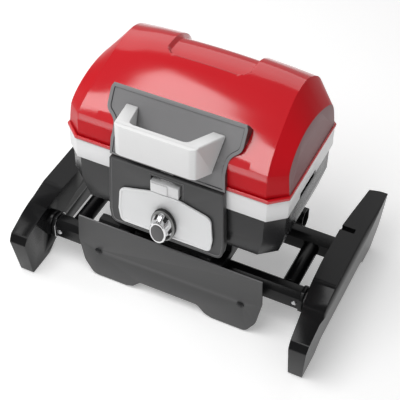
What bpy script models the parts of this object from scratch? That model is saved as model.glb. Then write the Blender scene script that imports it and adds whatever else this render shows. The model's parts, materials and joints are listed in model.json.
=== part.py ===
"""Portable tabletop gas grill on a folding stand with telescoping crossed legs.

Metres, +Z up. X runs left to right seen from the front, Y runs front to back.
The origin is on the ground, below the middle of the firebox.
"""
import math

import bmesh
import bpy
from mathutils import Matrix, Vector

# ---- driving dimensions ------------------------------------------------------------
GAP = 0.0003                # between pieces that touch
RUNNING = 0.001             # between pieces that slide or turn past each other
CUT_PAST = 0.025            # how far a cutter reaches past the wall that it cuts

RIM_HALF_X = 0.215          # silver band, outside
RIM_HALF_Y = 0.132
CORNER_X = 0.030            # the corner flat, along X and along Y
CORNER_Y = 0.026
BAND_TOP = 0.3425
BAND_HEIGHT = 0.0425
BAND_WALL = 0.0035
SHELL_WALL = 0.0015
SHELL_BOTTOM = 0.190
SHELL_TAPER = 0.012         # how much narrower the shell is at its foot

BOWL_WALL = 0.0015
BOWL_BOTTOM = 0.205
BOWL_INSET = 0.008          # bowl mouth inside the shell wall
BOWL_LEDGE = 0.007          # width of the ledge that carries the cooking grate
BOWL_LEDGE_Z = 0.3225
BOWL_TAPER = 0.040
DRAIN_RADIUS = 0.009
INLET_Y = 0.060
INLET_Z = 0.232
INLET_RADIUS = 0.009
PIPE_RADIUS = 0.003
SIDE_SLOT = [(-0.057, 0.287), (0.027, 0.287), (0.020, 0.310), (-0.050, 0.310)]

LID_SEAM = 0.0010           # between band and lid
LID_WALL = 0.0018
LID_FLANGE = 0.002          # flange standing proud of the band
LID_END_DROP = 0.044        # how far the end facet drops inside the profile
LID_RIDGE_LEAN = 0.012      # how far the ridge beside the end facet leans inwards at the crown
LID_BOW = 0.012             # crown of the roof along X
RECESS_HALF_X = 0.078
RECESS_FRONT = 0.012
RECESS_DEPTH = 0.008

PANEL_FRONT = -RIM_HALF_Y - 0.0135
PANEL_BACK = -RIM_HALF_Y - 0.0005
PANEL_TOP = 0.3425
PANEL_BOTTOM = 0.183
PANEL_TOP_HALF = 0.110
PANEL_BOTTOM_HALF = 0.115
BEZEL_THICK = 0.004
BEZEL_HALF = 0.094
BEZEL_BOTTOM = 0.196
BEZEL_SHOULDER = 0.278
BEZEL_CROWN = 0.296

KNOB_Z = 0.229
KNOB_HALF_X = 0.024         # the dial plate is an upright oval
KNOB_HALF_Z = 0.037
KNOB_PLATE = 0.007
KNOB_REACH = 0.0275
SHAFT_RADIUS = 0.004
SHAFT_HOLE = 0.0065

LATCH_HALF = 0.0275
LATCH_BOTTOM = 0.299
LATCH_HEIGHT = 0.024
LATCH_TRAVEL = 0.007
TONGUE_HALF = 0.012
TONGUE_FRONT = PANEL_FRONT + 0.006
TONGUE_THICK = 0.003

HANDLE_FRONT = -RIM_HALF_Y - 0.055
HANDLE_HALF = 0.0755
HANDLE_BASE_HALF = 0.101
HANDLE_WALL = 0.015
HANDLE_BOTTOM = 0.399
HANDLE_TOP = 0.4605

HINGE_X = 0.130
HINGE_Y = RIM_HALF_Y + 0.009
HINGE_Z = 0.3455
HINGE_WIDTH = 0.036
PIN_RADIUS = 0.003
KNUCKLE_RADIUS = 0.006

PLATE_FRONT = -0.138        # front face of the stand's front plate
PLATE_THICK = 0.003
PLATE_TOP = 0.152
PLATE_HALF = 0.190
REAR_PLATE_HALF = 0.163
REAR_PLATE_BOTTOM = 0.057
PIVOT_X = 0.150
PIVOT_Z = 0.072
PIVOT_RADIUS = 0.005
RIVET_HEAD = 0.008

TUBE_DEPTH = 0.036          # outer leg tube, along Y
TUBE_HEIGHT = 0.046         # outer leg tube, along Z
TUBE_WALL = 0.002
TUBE_BEVEL = 0.010
TUBE_Z = 0.080
TUBE_INNER_END = 0.176
TUBE_OUTER_END = 0.2555
LAYER_GAP = 0.002           # between the two nested leg frames
REAR_INSET = 0.012          # the right leg's rear tube stands further in
COLLAR_LENGTH = 0.008
COLLAR_PROUD = 0.003
SLIDE_WALL = 0.002          # inner, telescoping tube
SLIDE_INNER_END = 0.120     # how far past the middle the inner tube reaches
SCREW_X = 0.239             # stop screw, in front of the collar
CROSS_X = 0.215
CROSS_RADIUS = 0.016

BAR_OUTER = 0.312
BAR_OUTER_FOOT = 0.299
BAR_FRONT = -0.205
BAR_REAR = 0.203
BAR_TOP = 0.137
BOSS_START = 0.257          # inner face of the sockets that hold the sliding tubes
SOCKET_END = 0.286
NOTCH_Y = 0.072             # cross slot in the top of each foot bar
NOTCH_HALF = 0.006
NOTCH_END = 0.290

RAIL_X = 0.095
RAIL_WIDTH = 0.026
RAIL_TOP = 0.1525
RAIL_THICK = 0.022
POST_Y = 0.085
POST_HALF = 0.008
TRAY_WALL = 0.0015
TRAY_DEPTH = 0.030

GRATE_THICK = 0.008
GRATE_TOP = 0.3342
GRATE_BARS = 20
GRATE_BAR = 0.006
GRATE_FRAME = 0.010
HEAT_PLATE_Z = 0.272
HEAT_PLATE_PEAK = 0.012
BURNER_Z = 0.232
BURNER_RADIUS = 0.007
BURNER_HALF_X = 0.110
BURNER_HALF_Y = 0.048

# lid profile over the middle, front to back: (y, rise above the band), drawn on a rim of LID_DRAWN_HALF
# and stretched to the rim's real size
LID_DRAWN_HALF = 0.132
LID_ROOF = [(-0.130, 0.012), (-0.129, 0.0485), (-0.1275, 0.058), (-0.1155, 0.070), (-0.098, 0.082),
            (-0.078, 0.092), (-0.055, 0.1015), (-0.030, 0.1125), (-0.005, 0.1215), (0.012, 0.1256),
            (0.019, 0.1268), (0.036, 0.1275), (0.058, 0.1255), (0.0866, 0.1145), (0.110, 0.0985),
            (0.124, 0.076), (0.129, 0.052), (0.130, 0.012)]
LID_EDGE = RIM_HALF_Y + LID_FLANGE
LID_PROFILE = [(-LID_EDGE, LID_SEAM), (-LID_EDGE, 0.009),
               *[(y * (RIM_HALF_Y / LID_DRAWN_HALF), rise) for y, rise in LID_ROOF],
               (LID_EDGE, 0.009), (LID_EDGE, LID_SEAM)]
# front face of the moulding behind the lid handle: (distance behind the rim's front, z)
HANDLE_PLATE_STEPS = [(-0.0098, 0.346), (-0.0072, 0.382), (0.0095, 0.411), (0.0258, 0.4400), (0.0390, 0.4630)]
HANDLE_PLATE_FACE = [(depth - RIM_HALF_Y, z) for depth, z in HANDLE_PLATE_STEPS]

COLLECTION = bpy.data.collections.new("portable_tabletop_grill")
CUTTERS = bpy.data.collections.new("cutters")
BODIES = {}


# ---- scene helpers -------------------------------------------------------------------
def clear_scene():
    for old in list(bpy.data.objects):
        bpy.data.objects.remove(old, do_unlink=True)
    bpy.context.scene.collection.children.link(COLLECTION)
    bpy.context.scene.collection.children.link(CUTTERS)


def material(name, colour, roughness, metallic=0.0):
    result = bpy.data.materials.new(name)
    result.use_nodes = True
    shader = result.node_tree.nodes["Principled BSDF"]
    shader.inputs["Base Color"].default_value = (*colour, 1.0)
    shader.inputs["Roughness"].default_value = roughness
    shader.inputs["Metallic"].default_value = metallic
    return result


def body(name, origin):
    """An empty on a joint's axis, which carries every piece of one moving body."""
    carrier = bpy.data.objects.new(name + "_axis", None)
    carrier.location = origin
    COLLECTION.objects.link(carrier)
    BODIES[name] = carrier


def finish(piece, look, carrier="base", smooth=None):
    """Give a world-placed mesh its material, its shading and its carrier."""
    piece.data.materials.clear()
    piece.data.materials.append(look)
    if smooth is not None:
        piece.data.shade_smooth()
        piece.data.set_sharp_from_angle(angle=math.radians(smooth))
    axis = BODIES[carrier]
    piece.data.transform(Matrix.Translation(-axis.location))
    piece.parent = axis
    COLLECTION.objects.link(piece)
    return piece


def cutter(piece):
    piece.hide_render = True
    piece.display_type = "WIRE"
    CUTTERS.objects.link(piece)
    return piece


def boolean(piece, other, operation="DIFFERENCE"):
    modifier = piece.modifiers.new(operation.lower(), "BOOLEAN")
    modifier.operation = operation
    modifier.solver = "EXACT"
    modifier.object = cutter(other)


def from_bmesh(name, bm):
    mesh = bpy.data.meshes.new(name)
    bm.to_mesh(mesh)
    bm.free()
    return bpy.data.objects.new(name, mesh)


# ---- shape helpers -------------------------------------------------------------------
def box(name, low, high, bevel=0.0):
    bm = bmesh.new()
    bmesh.ops.create_cube(bm, size=1.0)
    low, high = Vector(low), Vector(high)
    bmesh.ops.scale(bm, vec=high - low, verts=bm.verts)
    bmesh.ops.translate(bm, vec=(low + high) / 2, verts=bm.verts)
    if bevel:
        bmesh.ops.bevel(bm, geom=bm.edges[:], offset=bevel, segments=2, profile=0.5, affect="EDGES")
    return from_bmesh(name, bm)


def cylinder(name, start, end, radius, sides=20, end_radius=None):
    bm = bmesh.new()
    start, end = Vector(start), Vector(end)
    axis = end - start
    bmesh.ops.create_cone(bm, cap_ends=True, segments=sides, radius1=radius,
                          radius2=radius if end_radius is None else end_radius, depth=axis.length)
    turn = Vector((0, 0, 1)).rotation_difference(axis).to_matrix().to_4x4()
    bmesh.ops.transform(bm, matrix=Matrix.Translation((start + end) / 2) @ turn, verts=bm.verts)
    return from_bmesh(name, bm)


def chamfered_tube_section(bm, depth, height, bevel, x, centre_y, centre_z):
    """One chamfered rectangle in the YZ plane at x, as a ring of vertices."""
    half_y, half_z = depth / 2, height / 2
    corners = [(-half_y, -half_z + bevel), (-half_y + bevel, -half_z), (half_y - bevel, -half_z),
               (half_y, -half_z + bevel), (half_y, half_z - bevel), (half_y - bevel, half_z),
               (-half_y + bevel, half_z), (-half_y, half_z - bevel)]
    return [bm.verts.new((x, centre_y + y, centre_z + z)) for y, z in corners]


def chamfered_tube(name, depth, height, bevel, wall, x_range, centre_y, centre_z):
    """A straight tube along X with chamfered edges, open at both ends; wall 0 makes it solid."""
    bm = bmesh.new()
    outer = [chamfered_tube_section(bm, depth, height, bevel, x, centre_y, centre_z) for x in x_range]
    bridge(bm, outer[0], outer[1])
    if wall:
        inner_bevel = bevel - wall * (2 - math.sqrt(2))
        inner = [chamfered_tube_section(bm, depth - 2 * wall, height - 2 * wall, inner_bevel, x,
                                        centre_y, centre_z) for x in x_range]
        bridge(bm, inner[0], inner[1])
        bridge(bm, outer[0], inner[0])
        bridge(bm, outer[1], inner[1])
    else:
        bm.faces.new(outer[0])
        bm.faces.new(outer[1])
    bmesh.ops.recalc_face_normals(bm, faces=bm.faces)
    return from_bmesh(name, bm)


def bridge(bm, ring_a, ring_b):
    """Side faces between two rings that have the same number of vertices."""
    count = len(ring_a)
    for index in range(count):
        following = (index + 1) % count
        bm.faces.new((ring_a[index], ring_a[following], ring_b[following], ring_b[index]))


def tub_ring(bm, half_x, half_y, z):
    """The grill's plan: a rectangle whose four corners are cut by flats."""
    cut_x, cut_y = half_x - CORNER_X, half_y - CORNER_Y
    plan = [(cut_x, -half_y), (half_x, -cut_y), (half_x, cut_y), (cut_x, half_y),
            (-cut_x, half_y), (-half_x, cut_y), (-half_x, -cut_y), (-cut_x, -half_y)]
    return [bm.verts.new((x, y, z)) for x, y in plan]


def tub(name, levels, wall):
    """An open tub from rings (half_x, half_y, z), bottom first, with its wall inside."""
    bm = bmesh.new()
    rings = [tub_ring(bm, *level) for level in levels]
    for lower, upper in zip(rings, rings[1:]):
        bridge(bm, lower, upper)
    bm.faces.new(rings[0])
    bmesh.ops.recalc_face_normals(bm, faces=bm.faces)
    if sum(face.normal.z for face in bm.faces) > 0:
        bmesh.ops.reverse_faces(bm, faces=bm.faces)
    piece = from_bmesh(name, bm)
    thickness = piece.modifiers.new("wall", "SOLIDIFY")
    thickness.thickness = wall
    thickness.offset = -1
    thickness.use_even_offset = True
    return piece


def rounded(points, segments=4):
    """Replace corners given as (x, y, radius) by arcs; (x, y) stays sharp."""
    result = []
    count = len(points)
    for index, point in enumerate(points):
        corner = Vector(point[:2])
        radius = point[2] if len(point) > 2 else 0.0
        if radius <= 0:
            result.append(tuple(corner))
            continue
        before = (Vector(points[index - 1][:2]) - corner).normalized()
        after = (Vector(points[(index + 1) % count][:2]) - corner).normalized()
        half = before.angle(after) / 2
        reach = radius / math.tan(half)
        centre = corner + (before + after).normalized() * radius / math.sin(half)
        start = corner + before * reach - centre
        end = corner + after * reach - centre
        sweep = start.angle_signed(end)
        for step in range(segments + 1):
            angle = -sweep * step / segments
            turned = Matrix.Rotation(angle, 2) @ start
            result.append(tuple(centre + turned))
    return result


def outline_solid(name, outline, plane, low, high, holes=()):
    """A flat outline with holes, filled as a 2D curve and extruded from low to high."""
    curve = bpy.data.curves.new(name, "CURVE")
    curve.dimensions = "2D"
    curve.fill_mode = "BOTH"
    curve.extrude = (high - low) / 2
    for loop in (outline, *holes):
        spline = curve.splines.new("POLY")
        spline.points.add(len(loop) - 1)
        for target, (u, v) in zip(spline.points, loop):
            target.co = (u, v, 0, 1)
        spline.use_cyclic_u = True
    shape = bpy.data.objects.new(name, curve)
    bpy.context.scene.collection.objects.link(shape)
    middle = (low + high) / 2
    turns = {"xz": Matrix.Translation((0, middle, 0)) @ Matrix.Rotation(math.pi / 2, 4, "X"),
             "yz": Matrix(((0, 0, 1, middle), (1, 0, 0, 0), (0, 1, 0, 0), (0, 0, 0, 1))),
             "xy": Matrix.Translation((0, 0, middle))}
    evaluated = shape.evaluated_get(bpy.context.evaluated_depsgraph_get())
    mesh = bpy.data.meshes.new_from_object(evaluated)
    mesh.name = name
    bpy.data.objects.remove(shape, do_unlink=True)
    mesh.transform(turns[plane])
    bm = bmesh.new()
    bm.from_mesh(mesh)
    bmesh.ops.remove_doubles(bm, verts=bm.verts, dist=0.00002)
    bmesh.ops.recalc_face_normals(bm, faces=bm.faces)
    bm.to_mesh(mesh)
    bm.free()
    return bpy.data.objects.new(name, mesh)


def circle(x, y, radius, sides=20):
    return [(x + radius * math.cos(2 * math.pi * step / sides),
             y + radius * math.sin(2 * math.pi * step / sides)) for step in range(sides)]


def rectangle(x0, x1, y0, y1):
    return [(x0, y0), (x1, y0), (x1, y1), (x0, y1)]


def mirrored(half_points):
    """A closed outline from its right half, listed bottom to top."""
    return half_points + [(-point[0], *point[1:]) for point in reversed(half_points)]


def pipe(name, points, radius, resolution=2):
    """A round pipe along points, as a bevelled POLY curve with filled caps, made a mesh."""
    curve = bpy.data.curves.new(name, "CURVE")
    curve.dimensions = "3D"
    curve.bevel_depth = radius
    curve.bevel_resolution = resolution
    curve.use_fill_caps = True
    spline = curve.splines.new("POLY")
    spline.points.add(len(points) - 1)
    for target, point in zip(spline.points, points):
        target.co = (*point, 1)
    shape = bpy.data.objects.new(name, curve)
    bpy.context.scene.collection.objects.link(shape)
    evaluated = shape.evaluated_get(bpy.context.evaluated_depsgraph_get())
    mesh = bpy.data.meshes.new_from_object(evaluated)
    mesh.name = name
    bpy.data.objects.remove(shape, do_unlink=True)
    bm = bmesh.new()
    bm.from_mesh(mesh)
    bmesh.ops.remove_doubles(bm, verts=bm.verts, dist=0.00002)
    bm.to_mesh(mesh)
    bm.free()
    return bpy.data.objects.new(name, mesh)


# ---- firebox ---------------------------------------------------------------------------
SHELL_HALF_X = RIM_HALF_X - BAND_WALL - GAP
SHELL_HALF_Y = RIM_HALF_Y - BAND_WALL - GAP
BAND_BOTTOM = BAND_TOP - BAND_HEIGHT
BOWL_MOUTH_X = SHELL_HALF_X - SHELL_WALL - BOWL_INSET
BOWL_MOUTH_Y = SHELL_HALF_Y - SHELL_WALL - BOWL_INSET
BOWL_RIM = BAND_TOP - 0.002
VALVE_FRONT = -SHELL_HALF_Y + 0.011
VALVE_BACK = VALVE_FRONT + 0.019
ELECTRODE_X = 0.030
ELECTRODE_RADIUS = 0.0025
ELECTRODE_Z = BURNER_Z + 0.008


def bowl_half(z):
    """Outside half sizes of the bowl at height z, below its ledge."""
    share = (BOWL_LEDGE_Z - z) / (BOWL_LEDGE_Z - BOWL_BOTTOM)
    inset = BOWL_LEDGE + BOWL_TAPER * share ** 2
    return BOWL_MOUTH_X - inset, BOWL_MOUTH_Y - inset


def side_slot(name):
    """A cutter for the long slot in the middle of both sides."""
    return outline_solid(name, SIDE_SLOT, "yz", -RIM_HALF_X - CUT_PAST, RIM_HALF_X + CUT_PAST)


def body_shell(look):
    foot = 0.010
    levels = [(SHELL_HALF_X - SHELL_TAPER - foot, SHELL_HALF_Y - SHELL_TAPER - foot / 2, SHELL_BOTTOM),
              (SHELL_HALF_X - SHELL_TAPER, SHELL_HALF_Y - SHELL_TAPER + 0.004, SHELL_BOTTOM + foot),
              (SHELL_HALF_X - 0.001, SHELL_HALF_Y, SHELL_BOTTOM + 0.055),
              (SHELL_HALF_X, SHELL_HALF_Y, BAND_TOP)]
    shell = tub("body_shell", levels, SHELL_WALL)
    boolean(shell, cylinder("shaft_bore", (0, -RIM_HALF_Y - 0.068, KNOB_Z),
                            (0, -RIM_HALF_Y + 0.017, KNOB_Z), SHAFT_HOLE))
    boolean(shell, cylinder("grease_bore", (0, 0, SHELL_BOTTOM - 0.02), (0, 0, SHELL_BOTTOM + 0.012),
                            DRAIN_RADIUS + 0.004))
    boolean(shell, cylinder("inlet_bore", (-RIM_HALF_X - CUT_PAST, INLET_Y, INLET_Z),
                            (-RIM_HALF_X + CUT_PAST, INLET_Y, INLET_Z), INLET_RADIUS + GAP))
    slot = side_slot("shell_side_slot")
    boolean(slot, box("bowl_room", (-BOWL_MOUTH_X, -0.1, 0.2), (BOWL_MOUTH_X, 0.1, 0.4)))
    boolean(shell, slot)
    finish(shell, look)


def rim_band(look):
    bm = bmesh.new()
    outer = [tub_ring(bm, RIM_HALF_X, RIM_HALF_Y, z) for z in (BAND_BOTTOM, BAND_TOP)]
    inside = (RIM_HALF_X - BAND_WALL, RIM_HALF_Y - BAND_WALL)
    inner = [tub_ring(bm, *inside, z) for z in (BAND_BOTTOM, BAND_TOP)]
    bridge(bm, *outer)
    bridge(bm, *inner)
    bridge(bm, outer[0], inner[0])
    bridge(bm, outer[1], inner[1])
    bmesh.ops.recalc_face_normals(bm, faces=bm.faces)
    band = from_bmesh("rim_band", bm)
    boolean(band, side_slot("band_side_slot"))
    finish(band, look)


def fire_bowl(look):
    steps = 5
    levels = []
    for step in range(steps + 1):
        z = BOWL_BOTTOM + (BOWL_LEDGE_Z - BOWL_BOTTOM) * step / steps
        levels.append((*bowl_half(z), z))
    levels.append((BOWL_MOUTH_X, BOWL_MOUTH_Y, BOWL_LEDGE_Z + 0.001))
    levels.append((BOWL_MOUTH_X, BOWL_MOUTH_Y, BOWL_RIM))
    lip = BOWL_INSET - RUNNING
    levels.append((BOWL_MOUTH_X + lip, BOWL_MOUTH_Y + lip, BOWL_RIM + 0.0005))
    bowl = tub("fire_bowl", levels, BOWL_WALL)
    boolean(bowl, cylinder("drain_bore", (0, 0, BOWL_BOTTOM - 0.02), (0, 0, BOWL_BOTTOM + 0.012),
                           DRAIN_RADIUS))
    boolean(bowl, cylinder("burner_bore", (0, -0.13, BURNER_Z), (0, -0.055, BURNER_Z),
                           BURNER_RADIUS + RUNNING))
    boolean(bowl, cylinder("electrode_bore", (ELECTRODE_X, -0.13, ELECTRODE_Z),
                           (ELECTRODE_X, -0.055, ELECTRODE_Z), ELECTRODE_RADIUS + GAP, 12))
    finish(bowl, look)


def grate(look):
    bottom = GRATE_TOP - GRATE_THICK
    half_x = BOWL_MOUTH_X - BOWL_WALL - RUNNING
    half_y = BOWL_MOUTH_Y - BOWL_WALL - RUNNING
    corner_x, corner_y = half_x - CORNER_X, half_y - CORNER_Y
    right = [(corner_x, -half_y), (half_x, -corner_y), (half_x, corner_y), (corner_x, half_y)]
    outline = right + [(-x, -y) for x, y in right]
    inner_x, inner_y = corner_x + 0.004, half_y - GRATE_FRAME
    pitch = 2 * inner_x / GRATE_BARS
    slots = []
    for index in range(GRATE_BARS):
        left = -inner_x + index * pitch + GRATE_BAR / 2
        for low, high in ((-inner_y, -GRATE_BAR / 2), (GRATE_BAR / 2, inner_y)):
            slots.append(rectangle(left, left + pitch - GRATE_BAR, low, high))
    finish(outline_solid("cooking_grate", outline, "xy", bottom, GRATE_TOP, slots), look)


def heat_plate(look):
    """A roof-shaped sheet above the burner, standing on the bowl's sloping ends."""
    thick = 0.0015
    reach_x = bowl_half(HEAT_PLATE_Z)[0] - BOWL_WALL - 2 * RUNNING
    half_y = 0.058
    profile = [(-half_y, HEAT_PLATE_Z), (0, HEAT_PLATE_Z + HEAT_PLATE_PEAK), (half_y, HEAT_PLATE_Z),
               (half_y, HEAT_PLATE_Z + thick), (0, HEAT_PLATE_Z + HEAT_PLATE_PEAK + thick),
               (-half_y, HEAT_PLATE_Z + thick)]
    finish(outline_solid("heat_plate", profile, "yz", -reach_x, reach_x), look)


def burner(look):
    """A looped burner pipe whose stem runs forward through the bowl to the valve."""
    stem_start = VALVE_BACK + GAP
    turn = 0.018
    path = [(0, stem_start), (0, -0.020, turn), (-BURNER_HALF_X, -0.020, turn),
            (-BURNER_HALF_X, BURNER_HALF_Y, turn), (BURNER_HALF_X, BURNER_HALF_Y, turn),
            (BURNER_HALF_X, -0.020, turn), (0.045, -0.020)]
    plan = rounded(path)
    finish(pipe("burner_tube", [(x, y, BURNER_Z) for x, y in plan], BURNER_RADIUS), look, smooth=40)


def gas_parts(brass, steel, ceramic):
    valve = box("valve_body", (-0.013, VALVE_FRONT, KNOB_Z - 0.014), (0.013, VALVE_BACK, KNOB_Z + 0.014),
                0.002)
    boolean(valve, cylinder("stem_bore", (0, -0.16, KNOB_Z), (0, VALVE_FRONT + 0.012, KNOB_Z),
                            SHAFT_RADIUS + RUNNING))
    finish(valve, brass)
    run_x = bowl_half(INLET_Z)[0] + 0.009
    run_y = (VALVE_FRONT + VALVE_BACK) / 2
    route = [(-0.013 - GAP, run_y), (-run_x, run_y, 0.030), (-run_x, INLET_Y)]
    finish(pipe("gas_pipe", [(x, y, INLET_Z) for x, y in rounded(route, 5)], PIPE_RADIUS), steel, smooth=40)
    inner_end = -run_x - PIPE_RADIUS - GAP
    inlet = cylinder("gas_inlet", (-RIM_HALF_X - 0.012, INLET_Y, INLET_Z), (inner_end, INLET_Y, INLET_Z),
                     INLET_RADIUS, 16)
    boolean(inlet, cylinder("inlet_socket", (-RIM_HALF_X - CUT_PAST, INLET_Y, INLET_Z),
                            (-RIM_HALF_X + 0.010, INLET_Y, INLET_Z), 0.005, 16))
    finish(inlet, brass, smooth=40)
    finish(cylinder("igniter_electrode", (ELECTRODE_X, VALVE_BACK + 0.001, ELECTRODE_Z),
                    (ELECTRODE_X, -0.030, ELECTRODE_Z), ELECTRODE_RADIUS, 12), ceramic, smooth=40)


# ---- lid -------------------------------------------------------------------------------
def lid_point(x, y, rise, grow=0.0):
    """A point of the lid's outer surface: the roof is bowed along X, the skirt is not."""
    roof = max(0.0, min(1.0, (rise - 0.060) / 0.060))
    bow = LID_BOW * roof * max(0.0, 1 - (x / (RIM_HALF_X - CORNER_X)) ** 2)
    return Vector((x, y, BAND_TOP + rise + bow + grow * roof))


def lid_rings(bm, grow=0.0):
    """Profile rings across the lid: outer end, ridge, recess edges, middle, and mirrored."""
    ridge = RIM_HALF_X - CORNER_X - 0.004 + grow
    recess = (RECESS_HALF_X + 0.010, RECESS_HALF_X)
    stations = [-ridge, -0.125, -recess[0], -recess[1], -0.040, 0, 0.040, recess[1], recess[0], 0.125, ridge]
    rings = []
    for sign in (-1, 1):
        ring = []
        for y, rise in LID_PROFILE:
            share = max(0.0, min(1.0, (rise - 0.012) / 0.08))
            drop = LID_END_DROP * max(0.0, min(1.0, (rise - 0.055) / 0.05))
            inward = CORNER_Y if abs(y) > 0.08 else CORNER_Y * abs(y) / 0.08
            end = RIM_HALF_X + (LID_FLANGE if rise < 0.010 else 0.0) - 0.007 * share + grow
            ring.append(bm.verts.new(lid_point(sign * end, y - math.copysign(inward, y), rise - drop)))
        rings.append(ring)
    middle = []
    for x in stations:
        inside = abs(x) <= RECESS_HALF_X and not grow
        ring = []
        for y, rise in LID_PROFILE:
            edge = 0.004 if rise < 0.010 else 0.0
            lean = LID_RIDGE_LEAN * max(0.0, min(1.0, (rise - 0.055) / 0.07))
            width = math.copysign(abs(x) + (edge - lean) * (abs(x) == ridge), x)
            point = lid_point(width, y + math.copysign(grow, y), rise, grow)
            if inside and y > RECESS_FRONT + 0.001 and rise > 0.07:
                point.z -= RECESS_DEPTH
                point.y -= RECESS_DEPTH * 0.6 * (y > 0.08)
            ring.append(bm.verts.new(point))
        middle.append(ring)
    return [rings[0], *middle, rings[1]]


def lid_surface(name, closed=False, grow=0.0):
    bm = bmesh.new()
    rings = lid_rings(bm, grow)
    for left, right in zip(rings, rings[1:]):
        for index in range(len(left) - 1):
            bm.faces.new((left[index], right[index], right[index + 1], left[index + 1]))
    for ring in (rings[0], rings[-1]):
        for index in range(2):
            bm.faces.new((ring[index], ring[index + 1], ring[-index - 2], ring[-index - 1]))
        bm.faces.new(ring[2:-2])
    if closed:
        loops = [ring[0] for ring in rings] + [ring[-1] for ring in reversed(rings)]
        bm.faces.new(loops)
    bmesh.ops.recalc_face_normals(bm, faces=bm.faces)
    top = max(bm.faces, key=lambda face: face.calc_center_median().z)
    if top.normal.z < 0:
        bmesh.ops.reverse_faces(bm, faces=bm.faces)
    bmesh.ops.triangulate(bm, faces=bm.faces)
    return from_bmesh(name, bm)


def lid_shell(look):
    lid = lid_surface("lid_shell")
    wall = lid.modifiers.new("wall", "SOLIDIFY")
    wall.thickness = LID_WALL
    wall.offset = -1
    wall.use_even_offset = False
    finish(lid, look, "lid")


def handle_plate(look):
    face = HANDLE_PLATE_FACE
    profile = [*face, (face[-1][0] + 0.003, face[-1][1]), (0.066 - RIM_HALF_Y, 0.432),
               (0.072 - RIM_HALF_Y, 0.346)]
    plate = outline_solid("handle_plate", profile, "yz", -0.14, 0.14)
    right = [(0.1115, 0.340), (0.1085, 0.392, 0.03), (0.1095, 0.409, 0.02), (0.1285, 0.424, 0.015),
             (0.1285, 0.4575, 0.010), (0.118, 0.475)]
    outline = outline_solid("handle_plate_outline", rounded(mirrored(right)), "xz", -0.2, 0.0)
    boolean(plate, outline, "INTERSECT")
    boolean(plate, lid_surface("lid_envelope", True, 0.0008))
    boolean(plate, box("tongue_pocket", (-TONGUE_HALF - RUNNING, TONGUE_FRONT - 0.0005, 0.33),
                       (TONGUE_HALF + RUNNING, TONGUE_FRONT + TONGUE_THICK + 0.0005, 0.354)))
    finish(plate, look, "lid")


def lid_handle(look):
    """A U-shaped grip: its plan from above, cut to its outline from the side."""
    base, front, wall = HANDLE_BASE_HALF, HANDLE_HALF, HANDLE_WALL
    outer = [(base, -0.08), (front, HANDLE_FRONT + 0.004, 0.006), (front - 0.010, HANDLE_FRONT, 0.012)]
    inner = [(base - wall - 0.008, -0.08), (front - wall - 0.007, HANDLE_FRONT + wall, 0.012)]
    outline = (outer + [(-x, *rest) for x, *rest in reversed(outer)]
               + [(-x, *rest) for x, *rest in inner] + inner[::-1])
    handle = outline_solid("lid_handle", rounded(outline), "xy", 0.36, 0.50)
    seat = [(y - 2 * GAP, z) for y, z in HANDLE_PLATE_FACE]
    side = [(HANDLE_FRONT - 0.01, HANDLE_BOTTOM), (HANDLE_FRONT - 0.01, HANDLE_TOP),
            (HANDLE_FRONT + 0.014, HANDLE_TOP), seat[3], seat[2], seat[1], (seat[1][0], 0.378)]
    boolean(handle, outline_solid("handle_side", side, "yz", -0.12, 0.12), "INTERSECT")
    finish(handle, look, "lid")


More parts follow.
